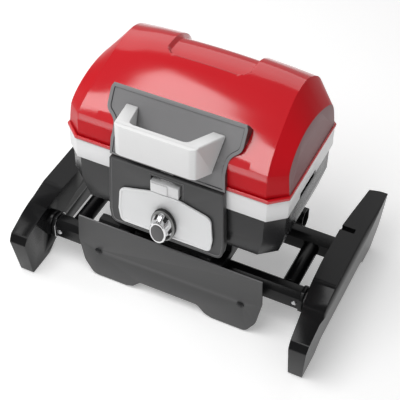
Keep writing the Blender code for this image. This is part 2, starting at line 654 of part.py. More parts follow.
def hinges(look, pin_look):
    for side, sign in (("left", -1), ("right", 1)):
        centre = sign * HINGE_X
        half = HINGE_WIDTH / 2
        third = HINGE_WIDTH / 3
        bracket = box("hinge_bracket_" + side, (centre - half, RIM_HALF_Y + GAP, BAND_BOTTOM + 0.004),
                      (centre + half, RIM_HALF_Y + 0.003, BAND_TOP - 0.002))
        barrel = cylinder("bracket_barrel_" + side, (centre - half, HINGE_Y, HINGE_Z),
                          (centre + half, HINGE_Y, HINGE_Z), KNUCKLE_RADIUS, 16)
        neck = box("bracket_neck_" + side, (centre - half, RIM_HALF_Y + GAP, BAND_TOP - 0.012),
                   (centre + half, HINGE_Y + 0.003, BAND_TOP - 0.0015))
        boolean(bracket, neck, "UNION")
        boolean(bracket, barrel, "UNION")
        slot_half = (third + RUNNING) / 2
        boolean(bracket, box("bracket_slot_" + side, (centre - slot_half, RIM_HALF_Y + 0.002, 0.32),
                             (centre + slot_half, HINGE_Y + 0.019, 0.37)))
        boolean(bracket, box("bracket_lid_room_" + side, (centre - half - 0.01, RIM_HALF_Y - 0.012, BAND_TOP - 0.0015),
                             (centre + half + 0.01, HINGE_Y - KNUCKLE_RADIUS + 0.001, 0.37)))
        boolean(bracket, cylinder("bracket_bore_" + side, (centre - 0.03, HINGE_Y, HINGE_Z),
                                  (centre + 0.03, HINGE_Y, HINGE_Z), PIN_RADIUS + GAP, 16))
        finish(bracket, look, smooth=35)
        leaf = cylinder("hinge_leaf_" + side, (centre - third / 2, HINGE_Y, HINGE_Z),
                        (centre + third / 2, HINGE_Y, HINGE_Z), KNUCKLE_RADIUS - 0.0005, 16)
        arm = box("leaf_arm_" + side, (centre - third / 2, HINGE_Y - 0.0062, HINGE_Z + 0.0015),
                  (centre + third / 2, HINGE_Y, HINGE_Z + 0.0055))
        tab = box("leaf_tab_" + side, (centre - third / 2, HINGE_Y - 0.0106, HINGE_Z + 0.0125),
                  (centre + third / 2, HINGE_Y - 0.0040, HINGE_Z + 0.040))
        riser = box("leaf_riser_" + side, (centre - third / 2, HINGE_Y - 0.0062, HINGE_Z + 0.0015),
                    (centre + third / 2, HINGE_Y - 0.0040, HINGE_Z + 0.020))
        for extra in (arm, riser, tab):
            boolean(leaf, extra, "UNION")
        boolean(leaf, cylinder("leaf_bore_" + side, (centre - 0.03, HINGE_Y, HINGE_Z),
                               (centre + 0.03, HINGE_Y, HINGE_Z), PIN_RADIUS + GAP, 16))
        finish(leaf, look, "lid", smooth=35)
        finish(cylinder("hinge_pin_" + side, (centre - half - 0.002, HINGE_Y, HINGE_Z),
                        (centre + half + 0.002, HINGE_Y, HINGE_Z), PIN_RADIUS, 12), pin_look, smooth=35)


def handle_screws(look):
    """Two screws inside the lid hold its front moulding; only their heads are modelled."""
    for side, sign in (("left", -1), ("right", 1)):
        x = sign * 0.060
        finish(cylinder("handle_screw_" + side, (x, -0.1264, 0.372), (x, -0.1230, 0.372), 0.005, 12),
               look, "lid", smooth=35)


# ---- front panel, knob and latch -----------------------------------------------------------
BEZEL_FRONT = PANEL_FRONT - GAP - BEZEL_THICK


def front_panel(look):
    right = [(PANEL_BOTTOM_HALF - 0.004, PANEL_BOTTOM, 0.014), (PANEL_BOTTOM_HALF, PANEL_BOTTOM + 0.03),
             (PANEL_TOP_HALF, PANEL_TOP, 0.003)]
    shaft = circle(0, KNOB_Z, SHAFT_HOLE)
    panel = outline_solid("front_panel", rounded(mirrored(right)), "xz", PANEL_FRONT, PANEL_BACK, [shaft])
    boolean(panel, box("latch_slot", (-LATCH_HALF - RUNNING, -0.16, LATCH_BOTTOM - RUNNING),
                       (LATCH_HALF + 0.004, TONGUE_FRONT + TONGUE_THICK + 0.0005,
                        LATCH_BOTTOM + LATCH_HEIGHT + LATCH_TRAVEL + RUNNING)))
    boolean(panel, box("tongue_slot", (-TONGUE_HALF - 0.0005, TONGUE_FRONT - 0.0005, LATCH_BOTTOM),
                       (TONGUE_HALF + 0.0005, TONGUE_FRONT + TONGUE_THICK + 0.0005, PANEL_TOP + 0.01)))
    finish(panel, look)


def control_bezel(look):
    right = [(BEZEL_HALF - 0.004, BEZEL_BOTTOM, 0.010), (BEZEL_HALF, BEZEL_BOTTOM + 0.03),
             (BEZEL_HALF - 0.004, BEZEL_SHOULDER, 0.016), (0.058, BEZEL_CROWN - 0.0095, 0.06),
             (0.025, BEZEL_CROWN, 0.06)]
    outline = rounded(mirrored(right))
    bezel = outline_solid("control_bezel", outline, "xz", BEZEL_FRONT, PANEL_FRONT - GAP,
                          [circle(0, KNOB_Z, SHAFT_HOLE)])
    finish(bezel, look)


def oval(half_x, half_z, sides=32):
    return [(half_x * math.cos(2 * math.pi * step / sides),
             KNOB_Z + half_z * math.sin(2 * math.pi * step / sides)) for step in range(sides)]


def knob(chrome, dark, brass):
    back = BEZEL_FRONT - RUNNING
    plate_front = back - KNOB_PLATE
    plate = outline_solid("knob_dial", oval(KNOB_HALF_X, KNOB_HALF_Z), "xz", plate_front, back,
                          [circle(0, KNOB_Z, SHAFT_RADIUS + GAP, 16)])
    finish(plate, dark, "knob", smooth=35)
    grip_front = back - KNOB_REACH
    bm = bmesh.new()
    sides = 32
    rings = []
    stages = [(0.0205, 0.033, plate_front - GAP), (0.0175, 0.027, grip_front + 0.006),
              (0.0155, 0.024, grip_front)]
    for half_x, half_z, y in stages:
        rings.append([bm.verts.new((x, y, z)) for x, z in oval(half_x, half_z, sides)])
    for lower, upper in zip(rings, rings[1:]):
        bridge(bm, lower, upper)
    bm.faces.new(rings[0])
    bm.faces.new(rings[-1])
    bmesh.ops.recalc_face_normals(bm, faces=bm.faces)
    grip = from_bmesh("knob_grip", bm)
    boolean(grip, outline_solid("cap_pocket", oval(0.0125 + GAP, 0.0195 + GAP), "xz", grip_front - 0.01,
                                grip_front + 0.003))
    boolean(grip, cylinder("grip_bore", (0, plate_front - 0.012, KNOB_Z), (0, back + 0.01, KNOB_Z),
                           SHAFT_RADIUS + GAP, 16))
    finish(grip, chrome, "knob", smooth=35)
    cap = outline_solid("knob_cap", oval(0.0125, 0.0195), "xz", grip_front - 0.0015, grip_front + 0.003 - GAP)
    finish(cap, dark, "knob", smooth=35)
    stem_end = VALVE_FRONT + 0.010
    finish(cylinder("valve_stem", (0, plate_front - 0.011, KNOB_Z), (0, stem_end, KNOB_Z), SHAFT_RADIUS, 16),
           brass, "knob", smooth=35)


def latch(look):
    top = LATCH_BOTTOM + LATCH_HEIGHT
    button = box("latch_slide", (-LATCH_HALF, PANEL_FRONT - 0.005, LATCH_BOTTOM),
                 (LATCH_HALF, TONGUE_FRONT + TONGUE_THICK, top), 0.0012)
    boolean(button, box("latch_tongue", (-TONGUE_HALF, TONGUE_FRONT, top - 0.006),
                        (TONGUE_HALF, TONGUE_FRONT + TONGUE_THICK, PANEL_TOP + 0.0005)), "UNION")
    finish(button, look, "latch")


# ---- stand -----------------------------------------------------------------------------------
def front_plate(look):
    right = [(0.061, 0.0250, 0.010), (0.077, 0.0085, 0.008), (0.092, 0.0030, 0.010), (0.163, 0.0030, 0.016),
             (0.182, 0.034, 0.03), (0.1925, 0.090, 0.03), (PLATE_HALF, PLATE_TOP, 0.002)]
    holes = [circle(sign * PIVOT_X, PIVOT_Z, PIVOT_RADIUS + GAP, 16) for sign in (-1, 1)]
    finish(outline_solid("front_plate", rounded(mirrored(right)), "xz", PLATE_FRONT,
                         PLATE_FRONT + PLATE_THICK, holes), look)


def rear_plate(look):
    right = [(REAR_PLATE_HALF - 0.004, REAR_PLATE_BOTTOM, 0.010), (REAR_PLATE_HALF, PLATE_TOP, 0.002)]
    holes = [circle(sign * PIVOT_X, PIVOT_Z, PIVOT_RADIUS + GAP, 16) for sign in (-1, 1)]
    finish(outline_solid("rear_plate", rounded(mirrored(right)), "xz", -PLATE_FRONT - PLATE_THICK,
                         -PLATE_FRONT, holes), look)


def frame_rails(look):
    """A rail from plate to plate with two posts that carry the firebox."""
    reach = -PLATE_FRONT - PLATE_THICK - GAP
    for side, sign in (("left", -1), ("right", 1)):
        x = sign * RAIL_X
        rail = box("frame_rail_" + side, (x - RAIL_WIDTH / 2, -reach, RAIL_TOP - RAIL_THICK),
                   (x + RAIL_WIDTH / 2, reach, RAIL_TOP))
        for place, y in (("front", -POST_Y), ("rear", POST_Y)):
            outer = x + sign * (RAIL_WIDTH / 2 - POST_HALF)
            post = box("post_" + side + "_" + place, (outer - POST_HALF, y - POST_HALF, RAIL_TOP - 0.004),
                       (outer + POST_HALF, y + POST_HALF, SHELL_BOTTOM - GAP))
            boolean(rail, post, "UNION")
        finish(rail, look)


def drip_tray(look):
    half_x = RAIL_X + RAIL_WIDTH / 2 - 2 * POST_HALF - RUNNING
    bottom = RAIL_TOP + GAP
    tray = box("drip_tray", (-half_x, -0.100, bottom), (half_x, 0.128, bottom + TRAY_DEPTH))
    boolean(tray, box("tray_hollow", (-half_x + TRAY_WALL, -0.100 + TRAY_WALL, bottom + TRAY_WALL),
                      (half_x - TRAY_WALL, 0.128 - TRAY_WALL, bottom + 0.1)))
    finish(tray, look, "drip_tray")


SLIDE_DEPTH = TUBE_DEPTH - 2 * TUBE_WALL - 2 * 0.0006
SLIDE_HEIGHT = TUBE_HEIGHT - 2 * TUBE_WALL - 2 * 0.0006
SLIDE_BEVEL = TUBE_BEVEL - TUBE_WALL * (2 - math.sqrt(2)) - 0.0006
OUTER_ROW = -PLATE_FRONT - PLATE_THICK - RUNNING - TUBE_DEPTH / 2
INNER_ROW = OUTER_ROW - TUBE_DEPTH - LAYER_GAP
# where each leg's front and rear tubes run: the right leg frame nests inside the left one
LEG_ROWS = {"left": (-OUTER_ROW, OUTER_ROW), "right": (-INNER_ROW, INNER_ROW - REAR_INSET)}


def bar_plan():
    """Right foot bar seen from above: both ends turn outwards a little, on both sides."""
    inner = [(0.273, BAR_FRONT), (0.270, -0.150), (0.264, -0.090), (0.2615, -0.030), (0.2615, 0.070),
             (0.266, 0.115), (0.275, BAR_REAR - 0.010)]
    outer = [(BAR_OUTER, BAR_REAR), (0.3075, 0.090), (0.3075, -0.110), (BAR_OUTER, BAR_FRONT)]
    return inner + outer


def bar_side():
    """Foot bar seen from the side: sloping nose, flat back, arched underside between two pads."""
    top = [(-0.190, 0.0, 0.004), (-0.205, 0.088, 0.004), (-0.196, 0.102, 0.01), (-0.130, 0.125, 0.05),
           (-0.075, BAR_TOP, 0.05), (BAR_REAR - 0.002, BAR_TOP, 0.004), (BAR_REAR, 0.050, 0.01)]
    under = [(0.176, 0.0, 0.01), (0.130, 0.0, 0.006), (0.110, 0.022, 0.02), (-0.105, 0.022, 0.02),
             (-0.130, 0.0, 0.006)]
    return rounded(top + under)


def foot_bar(side, sign, look):
    rows = LEG_ROWS[side]
    plan = [(sign * x, y) for x, y in bar_plan()]
    bar = outline_solid("foot_bar_" + side, plan, "xy", -0.01, 0.2)
    low, high = sorted((sign * 0.23, sign * 0.33))
    boolean(bar, outline_solid("bar_side_" + side, bar_side(), "yz", low, high), "INTERSECT")
    outside = [(BAR_OUTER_FOOT, -0.01), (BAR_OUTER, BAR_TOP + 0.01), (0.34, BAR_TOP + 0.01), (0.34, -0.01)]
    inside = [(0.200, -0.01), (0.273, -0.01), (0.260, 0.105), (0.200, 0.105)]
    for face, outline in (("outside", outside), ("inside", inside)):
        lean = [(sign * x, z) for x, z in outline]
        boolean(bar, outline_solid("bar_" + face + "_" + side, lean, "xz", -0.25, 0.25))
    notch = sorted((sign * 0.25, sign * NOTCH_END))
    boolean(bar, box("bar_notch_" + side, (notch[0], NOTCH_Y - NOTCH_HALF, BAR_TOP - 0.008),
                     (notch[1], NOTCH_Y + NOTCH_HALF, BAR_TOP + 0.01)))
    for place, y in zip(("front", "rear"), rows):
        boss = sorted((sign * BOSS_START, sign * 0.290))
        boolean(bar, chamfered_tube("boss_" + side + "_" + place, SLIDE_DEPTH + 0.010, SLIDE_HEIGHT + 0.010,
                                    TUBE_BEVEL, 0, boss, y, TUBE_Z), "UNION")
    pocket = sorted((sign * 0.20, sign * SOCKET_END))
    for place, y in zip(("front", "rear"), rows):
        boolean(bar, chamfered_tube("socket_" + side + "_" + place, SLIDE_DEPTH + 2 * GAP,
                                    SLIDE_HEIGHT + 2 * GAP, SLIDE_BEVEL, 0, pocket, y, TUBE_Z))
    finish(bar, look, side + "_foot")


def leg(side, sign, looks):
    """One leg frame: two outer tubes, a cross tube, and a sliding pair with the foot bar."""
    rows = LEG_ROWS[side]
    for place, y in zip(("front", "rear"), rows):
        span = sorted((-sign * TUBE_INNER_END, sign * TUBE_OUTER_END))
        tube = chamfered_tube("outer_tube_" + side + "_" + place, TUBE_DEPTH, TUBE_HEIGHT, TUBE_BEVEL,
                              TUBE_WALL, span, y, TUBE_Z)
        boolean(tube, cylinder("pivot_bore_" + side + "_" + place, (-sign * PIVOT_X, y - 0.03, PIVOT_Z),
                               (-sign * PIVOT_X, y + 0.03, PIVOT_Z), PIVOT_RADIUS + GAP, 16))
        finish(tube, looks["tube"], side + "_leg")
        slide_span = sorted((-sign * SLIDE_INNER_END, sign * (SOCKET_END - GAP)))
        slide = chamfered_tube("inner_tube_" + side + "_" + place, SLIDE_DEPTH, SLIDE_HEIGHT, SLIDE_BEVEL,
                               SLIDE_WALL, slide_span, y, TUBE_Z)
        finish(slide, looks["tube"], side + "_foot")
    collar_span = sorted((sign * (TUBE_OUTER_END - COLLAR_LENGTH), sign * TUBE_OUTER_END))
    front = rows[0]
    collar = chamfered_tube("collar_" + side, TUBE_DEPTH + 2 * COLLAR_PROUD, TUBE_HEIGHT + 2 * COLLAR_PROUD,
                            TUBE_BEVEL + COLLAR_PROUD / 2, 0, collar_span, front, TUBE_Z)
    boolean(collar, chamfered_tube("collar_bore_" + side, TUBE_DEPTH + 2 * GAP, TUBE_HEIGHT + 2 * GAP,
                                   TUBE_BEVEL - GAP / 2, 0, [collar_span[0] - 0.01, collar_span[1] + 0.01],
                                   front, TUBE_Z))
    finish(collar, looks["chrome"], side + "_leg")
    face = front - TUBE_DEPTH / 2
    screw = cylinder("stop_screw_" + side, (sign * SCREW_X, face - GAP, TUBE_Z),
                     (sign * SCREW_X, face - 0.002, TUBE_Z), 0.0055, 16, 0.004)
    finish(screw, looks["chrome"], side + "_leg", smooth=35)
    reach = TUBE_DEPTH / 2 + GAP
    finish(cylinder("cross_tube_" + side, (sign * CROSS_X, rows[0] + reach, TUBE_Z),
                    (sign * CROSS_X, rows[1] - reach, TUBE_Z), CROSS_RADIUS, 16), looks["tube"], side + "_leg", smooth=35)
    foot_bar(side, sign, looks["bar"])


def domed_pin(name, x, head_y, end_y, look):
    """A pin along Y with a domed head at its outer end."""
    facing = math.copysign(1, head_y)
    pin = cylinder(name, (x, head_y + facing * 0.002, PIVOT_Z), (x, end_y, PIVOT_Z), PIVOT_RADIUS, 16)
    head = cylinder(name + "_head", (x, head_y, PIVOT_Z), (x, head_y + facing * 0.004, PIVOT_Z),
                    RIVET_HEAD, 16, 0.004)
    boolean(pin, head, "UNION")
    finish(pin, look, smooth=35)


def pivots(pin_look, bracket_look):
    """The left leg turns on pins through the plates; the right leg, inside it, on two hangers."""
    outer_end = OUTER_ROW - TUBE_DEPTH / 2 + 0.0005
    rail_side = -RAIL_X - RAIL_WIDTH / 2 - GAP
    for place, facing, row in zip(("front", "rear"), (-1, 1), LEG_ROWS["right"]):
        inner_face = abs(row) - TUBE_DEPTH / 2
        plate_y = facing * (-PLATE_FRONT + GAP)
        domed_pin("pivot_pin_left_leg_" + place, PIVOT_X, plate_y, facing * outer_end, pin_look)
        domed_pin("plate_rivet_" + place, -PIVOT_X, plate_y, plate_y - facing * (PLATE_THICK + GAP), pin_look)
        hanger_y = facing * (inner_face - RUNNING / 2)
        low, high = sorted((hanger_y - facing * PLATE_THICK, hanger_y))
        outline = [(-PIVOT_X - 0.014, 0.058, 0.010), (-PIVOT_X + 0.014, 0.058, 0.010), (rail_side, 0.110, 0.006),
                   (rail_side, RAIL_TOP - 0.001), (-PIVOT_X, RAIL_TOP - 0.001, 0.010),
                   (-PIVOT_X - 0.014, 0.120, 0.010)]
        hanger = outline_solid("hanger_bracket_" + place, rounded(outline), "xz", low, high,
                               [circle(-PIVOT_X, PIVOT_Z, PIVOT_RADIUS + GAP, 16)])
        finish(hanger, bracket_look)
        pin = cylinder("pivot_pin_right_leg_" + place, (-PIVOT_X, hanger_y - facing * (PLATE_THICK + 0.002),
                                                        PIVOT_Z),
                       (-PIVOT_X, hanger_y + facing * (TUBE_DEPTH - 0.0005), PIVOT_Z), PIVOT_RADIUS, 16)
        finish(pin, pin_look, smooth=35)


# ---- assembly ------------------------------------------------------------------------------------
def build():
    clear_scene()
    body("base", (0, 0, 0))
    body("lid", (0, HINGE_Y, HINGE_Z))
    body("knob", (0, BEZEL_FRONT, KNOB_Z))
    body("latch", (0, PANEL_FRONT, LATCH_BOTTOM))
    body("drip_tray", (0, 0, RAIL_TOP))
    for side, sign in (("left", -1), ("right", 1)):
        body(side + "_leg", (-sign * PIVOT_X, 0, PIVOT_Z))
        body(side + "_foot", (sign * TUBE_OUTER_END, 0, TUBE_Z))
    red = material("red_gloss_paint", (0.62, 0.02, 0.03), 0.25)
    black = material("black_gloss_paint", (0.02, 0.02, 0.022), 0.3)
    silver = material("silver_paint", (0.72, 0.72, 0.72), 0.4)
    grey = material("dark_grey_plastic", (0.10, 0.10, 0.10), 0.5)
    handle_grey = material("light_grey_plastic", (0.62, 0.63, 0.63), 0.4)
    stand_black = material("stand_black_plastic", (0.03, 0.03, 0.03), 0.5)
    satin_black = material("black_satin_plastic", (0.03, 0.03, 0.03), 0.45)
    chrome = material("chrome", (0.8, 0.8, 0.8), 0.1, 1.0)
    brass = material("brass", (0.62, 0.45, 0.2), 0.3, 1.0)
    iron = material("cast_iron", (0.05, 0.05, 0.05), 0.7)
    steel = material("steel", (0.5, 0.5, 0.5), 0.35, 1.0)
    ceramic = material("ceramic", (0.8, 0.78, 0.72), 0.4)
    body_shell(black)
    rim_band(silver)
    fire_bowl(steel)
    grate(iron)
    heat_plate(steel)
    burner(steel)
    gas_parts(brass, steel, ceramic)
    front_panel(satin_black)
    control_bezel(silver)
    knob(chrome, grey, brass)
    latch(silver)
    lid_shell(red)
    handle_plate(grey)
    lid_handle(handle_grey)
    hinges(black, steel)
    handle_screws(chrome)
    front_plate(grey)
    rear_plate(grey)
    frame_rails(stand_black)
    drip_tray(steel)
    looks = {"tube": stand_black, "chrome": chrome, "bar": stand_black}
    for side, sign in (("left", -1), ("right", 1)):
        leg(side, sign, looks)
    pivots(black, stand_black)


build()
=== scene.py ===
# %% [markdown]
# # A portable tabletop gas grill
# The working parts of this grill are already modelled as plain solids. This lesson dresses them: it
# gives the lid its pressed shape, breaks every hard edge, adds the small fittings, and builds a finish
# for each material. Everything stands in one frame: metres, X to the right, Y to the back, Z up.

# %% The frame
import json
import math

import bmesh
import bpy
from mathutils import Matrix, Vector


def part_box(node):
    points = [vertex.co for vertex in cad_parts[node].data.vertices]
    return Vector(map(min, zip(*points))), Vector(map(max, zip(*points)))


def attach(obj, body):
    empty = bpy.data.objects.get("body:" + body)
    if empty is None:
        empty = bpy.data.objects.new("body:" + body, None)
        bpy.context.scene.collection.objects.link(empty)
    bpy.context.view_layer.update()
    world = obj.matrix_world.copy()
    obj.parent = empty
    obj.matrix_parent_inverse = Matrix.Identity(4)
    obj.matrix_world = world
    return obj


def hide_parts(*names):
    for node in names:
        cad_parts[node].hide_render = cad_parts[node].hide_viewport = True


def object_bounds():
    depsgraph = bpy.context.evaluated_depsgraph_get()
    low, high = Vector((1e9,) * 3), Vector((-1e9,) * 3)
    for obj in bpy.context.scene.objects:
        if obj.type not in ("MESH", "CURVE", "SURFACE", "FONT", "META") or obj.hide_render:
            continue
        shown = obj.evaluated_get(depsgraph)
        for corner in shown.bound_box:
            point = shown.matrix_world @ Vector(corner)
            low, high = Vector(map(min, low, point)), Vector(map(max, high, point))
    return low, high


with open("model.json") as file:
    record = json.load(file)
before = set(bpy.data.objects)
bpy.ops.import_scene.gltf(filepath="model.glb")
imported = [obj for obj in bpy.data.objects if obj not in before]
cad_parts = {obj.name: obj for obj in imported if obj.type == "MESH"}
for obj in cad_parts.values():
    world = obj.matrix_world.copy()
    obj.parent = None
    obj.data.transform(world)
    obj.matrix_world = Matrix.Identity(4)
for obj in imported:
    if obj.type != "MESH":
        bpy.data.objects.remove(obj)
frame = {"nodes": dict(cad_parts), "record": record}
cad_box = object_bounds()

BODY_OF = {node: body for body, nodes in frame["record"]["behaviour"]["bodies"].items() for node in nodes}

# %% [markdown]
# ## The camera, the light and the floor
# The grill is seen from above and a little to the right, through a long lens so that its sides stay
# nearly parallel. The camera could be aimed with a constraint, but a matrix built from three directions
# is exact and easy to read, and lets the view be rolled by a degree.

# %% Camera
AIM = Vector((0, 0, 0.177))
AZIMUTH = math.radians(25.09)
ELEVATION = math.radians(44.06)
ROLL = math.radians(1.24)
DISTANCE = 2.186
LENS = 103.4                            # millimetres
SHIFT_X, SHIFT_Y = -0.002, -0.0199      # the frame's middle beside the aim, in frame widths

back = Vector((math.sin(AZIMUTH) * math.cos(ELEVATION), -math.cos(AZIMUTH) * math.cos(ELEVATION),
               math.sin(ELEVATION)))
level = Vector((math.cos(AZIMUTH), math.sin(AZIMUTH), 0))
upward = back.cross(level)
across = level * math.cos(ROLL) + upward * math.sin(ROLL)
upright = upward * math.cos(ROLL) - level * math.sin(ROLL)

camera = bpy.data.objects.new("camera", bpy.data.cameras.new("camera"))
bpy.context.scene.collection.objects.link(camera)
facing = Matrix((across, upright, back)).transposed().to_4x4()
camera.matrix_world = Matrix.Translation(AIM + back * DISTANCE) @ facing
camera.data.lens = LENS
camera.data.shift_x = SHIFT_X
camera.data.shift_y = SHIFT_Y
bpy.context.scene.camera = camera
print("camera at", [round(value, 3) for value in camera.matrix_world.translation])

# %% [markdown]
# A glossy lid shows its lights as shapes, so they are few, big and soft: one wide softbox in front and
# above, one behind and one on the left. The room is white as high as its walls go and dim overhead, which
# leaves the middle of the lid a deep red between two bright bands. Colours are shown without a film curve.

# %% Light and floor
WALL_BRIGHTNESS = 0.34
CEILING_BRIGHTNESS = 0.20
WALL_END, CEILING_START = 0.60, 0.78    # how far up a direction points, as the sine of its elevation


def panel_light(name, place, size, power):
    """A soft rectangular light that looks at the middle of the grill."""
    data = bpy.data.lights.new(name, "AREA")
    data.shape = "RECTANGLE"
    data.size, data.size_y = size
    data.energy = power
    light = bpy.data.objects.new(name, data)
    light.location = place
    light.rotation_mode = "QUATERNION"
    light.rotation_quaternion = (Vector(place) - Vector((0, 0, 0.25))).to_track_quat("Z", "Y")
    bpy.context.scene.collection.objects.link(light)


panel_light("front_softbox", (-0.32, -0.74, 1.80), (1.5, 1.12), 23)
panel_light("rear_softbox", (-0.55, 1.35, 1.62), (2.6, 1.2), 9)
panel_light("left_softbox", (-2.2, -0.3, 1.1), (1.0, 1.0), 7)

room = bpy.data.worlds.new("white_room")
room.use_nodes = True
room_nodes = room.node_tree.nodes
room_links = room.node_tree.links
direction = room_nodes.new("ShaderNodeTexCoord")
height = room_nodes.new("ShaderNodeSeparateXYZ")
wall_and_ceiling = room_nodes.new("ShaderNodeMapRange")
wall_and_ceiling.inputs["From Min"].default_value = WALL_END
wall_and_ceiling.inputs["From Max"].default_value = CEILING_START
wall_and_ceiling.inputs["To Min"].default_value = WALL_BRIGHTNESS
wall_and_ceiling.inputs["To Max"].default_value = CEILING_BRIGHTNESS
room_links.new(direction.outputs["Generated"], height.inputs["Vector"])
room_links.new(height.outputs["Z"], wall_and_ceiling.inputs["Value"])
room_links.new(wall_and_ceiling.outputs["Result"], room_nodes["Background"].inputs["Strength"])
room_nodes["Background"].inputs["Color"].default_value = (1.0, 1.0, 1.0, 1.0)
bpy.context.scene.world = room
bpy.context.scene.view_settings.view_transform = "Standard"

FLOOR_SIZE = 12.0
FLOOR_GLOW = 0.30                       # the floor is a light table, which keeps its shadows pale
bm = bmesh.new()
bmesh.ops.create_grid(bm, x_segments=1, y_segments=1, size=FLOOR_SIZE / 2)
floor_mesh = bpy.data.meshes.new("floor")
bm.to_mesh(floor_mesh)
bm.free()
floor = bpy.data.objects.new("floor", floor_mesh)
floor.location.z = cad_box[0].z - 0.0005
bpy.context.scene.collection.objects.link(floor)
floor_paint = bpy.data.materials.new("floor_paint")
floor_paint.use_nodes = True
floor_shader = floor_paint.node_tree.nodes["Principled BSDF"]
floor_shader.inputs["Base Color"].default_value = (0.93, 0.93, 0.93, 1)
floor_shader.inputs["Roughness"].default_value = 0.9
floor_shader.inputs["Emission Color"].default_value = (1, 1, 1, 1)
floor_shader.inputs["Emission Strength"].default_value = FLOOR_GLOW
floor_mesh.materials.append(floor_paint)

# %% [markdown]
# ## Shader maths in Python
# A finish is a sum of patterns: a soft cloudiness, a fine grain, a scratch direction. Wiring each one
# by hand hides the idea, so one small class wraps a node's output and lets it stand in an expression,
# and one method makes every node.

# %% Node helper


class Link:
    """A node's output that can be added, subtracted and multiplied."""

    def __init__(self, finish, socket):
        self.finish = finish
        self.socket = socket

    def maths(self, operation, other, swapped=False):
        pair = (other, self) if swapped else (self, other)
        return self.finish.node("ShaderNodeMath", {"operation": operation}, dict(enumerate(pair)))

    def __add__(self, other):
        return self.maths("ADD", other)

    def __radd__(self, other):
        return self.maths("ADD", other, swapped=True)

    def __sub__(self, other):
        return self.maths("SUBTRACT", other)

    def __rsub__(self, other):
        return self.maths("SUBTRACT", other, swapped=True)

    def __mul__(self, other):
        return self.maths("MULTIPLY", other)

    def __rmul__(self, other):
        return self.maths("MULTIPLY", other, swapped=True)


class Finish:
    """A material made of nodes, with constants set on the shader itself."""

    def __init__(self, name, **constants):
        self.material = bpy.data.materials.new(name)
        self.material.use_nodes = True
        self.tree = self.material.node_tree
        self.shader = self.tree.nodes["Principled BSDF"]
        for socket, value in constants.items():
            self.shader.inputs[socket.replace("_", " ")].default_value = value
        self.place = self.node("ShaderNodeTexCoord", {}, {}, "Object")

    def node(self, kind, settings, sockets, output=0):
        """Makes one node: its settings first, then the values or links of its sockets."""
        made = self.tree.nodes.new(kind)
        for name, value in settings.items():
            setattr(made, name, value)
        for key, value in sockets.items():
            if isinstance(value, Link):
                self.tree.links.new(value.socket, made.inputs[key])
            else:
                made.inputs[key].default_value = value
        return Link(self, made.outputs[output])

    def noise(self, scale, detail=2.0, stretch=(1, 1, 1)):
        place = self.node("ShaderNodeMapping", {}, {"Vector": self.place, "Scale": stretch})
        return self.node("ShaderNodeTexNoise", {}, {"Vector": place, "Scale": scale, "Detail": detail})

    def between(self, factor, first, second):
        """A colour between two colours."""
        ends = {6: first, 7: second}
        for key, value in ends.items():
            if not isinstance(value, Link):
                ends[key] = (*value, 1)
        return self.node("ShaderNodeMix", {"data_type": "RGBA"}, {0: factor, **ends}, 2)

    def limit(self, value, low, high):
        """0 below low, 1 above high, and straight between them."""
        return self.node("ShaderNodeMapRange", {"clamp": True},
                         {"Value": value, "From Min": low, "From Max": high})

    def feed(self, socket, value):
        self.tree.links.new(value.socket, self.shader.inputs[socket])

    def relief(self, height, depth, strength=1.0):
        bump = self.node("ShaderNodeBump", {}, {"Height": height, "Distance": depth, "Strength": strength})
        self.feed("Normal", bump)


def shade(colour, factor):
    return tuple(channel * factor for channel in colour)


# %% [markdown]
# ## Paints and plastics
# Enamel is a hard film over metal: nearly smooth, with a faint orange-peel wave that only shows where a
# light is mirrored. Moulded plastic is duller and has a fine spark-eroded grain. Both are a base colour
# that drifts a little, a roughness that drifts with it, and a relief at the right scale, so one recipe
# with different numbers makes them all. The lid's red comes in three versions: full gloss on the roof, a
# painted glint on the step across the front (a slightly brighter red with a full coat and strong specular),
# and painted shade on the skirt and the sloping end facets (a slightly darker red with weak specular and
# no coat). The upright end panels take a grey-pink that is a painted reflection.

# %% Coated finishes


def coated(name, colour, roughness, grain_scale, grain_depth, drift=0.06, metallic=0.0, coat=0.0,
           specular=0.5):
    """Paint or moulded plastic: drifting colour and gloss over a fine grain."""
    made = Finish(name, Metallic=metallic, Coat_Weight=coat, Coat_Roughness=0.12,
                  Specular_IOR_Level=specular)
    cloud = made.noise(14, 3)
    made.feed("Base Color", made.between(cloud, shade(colour, 1 - drift), shade(colour, 1 + drift)))
    made.feed("Roughness", roughness - 0.03 + cloud * 0.03 + made.noise(260, 2) * 0.03)
    made.relief(made.noise(grain_scale, 3), grain_depth)
    return made.material


red_enamel = coated("red_enamel", (0.56, 0.0070, 0.014), 0.13, 420, 0.00001, 0.04, coat=0.6)
# A darker red with weak specular and no coat: painted shade on the lid's skirt and its sloping end facets.
red_painted_shade = coated("red_enamel_painted_shade", (0.53, 0.0070, 0.013), 0.32, 420, 0.00001, 0.04, specular=0.12)
# A brighter red with a full coat and strong specular: a painted glint along the step across the lid's front.
red_painted_glint = coated("red_enamel_painted_glint", (0.58, 0.0075, 0.015), 0.12, 420, 0.00001, 0.04, coat=1.0, specular=0.9)
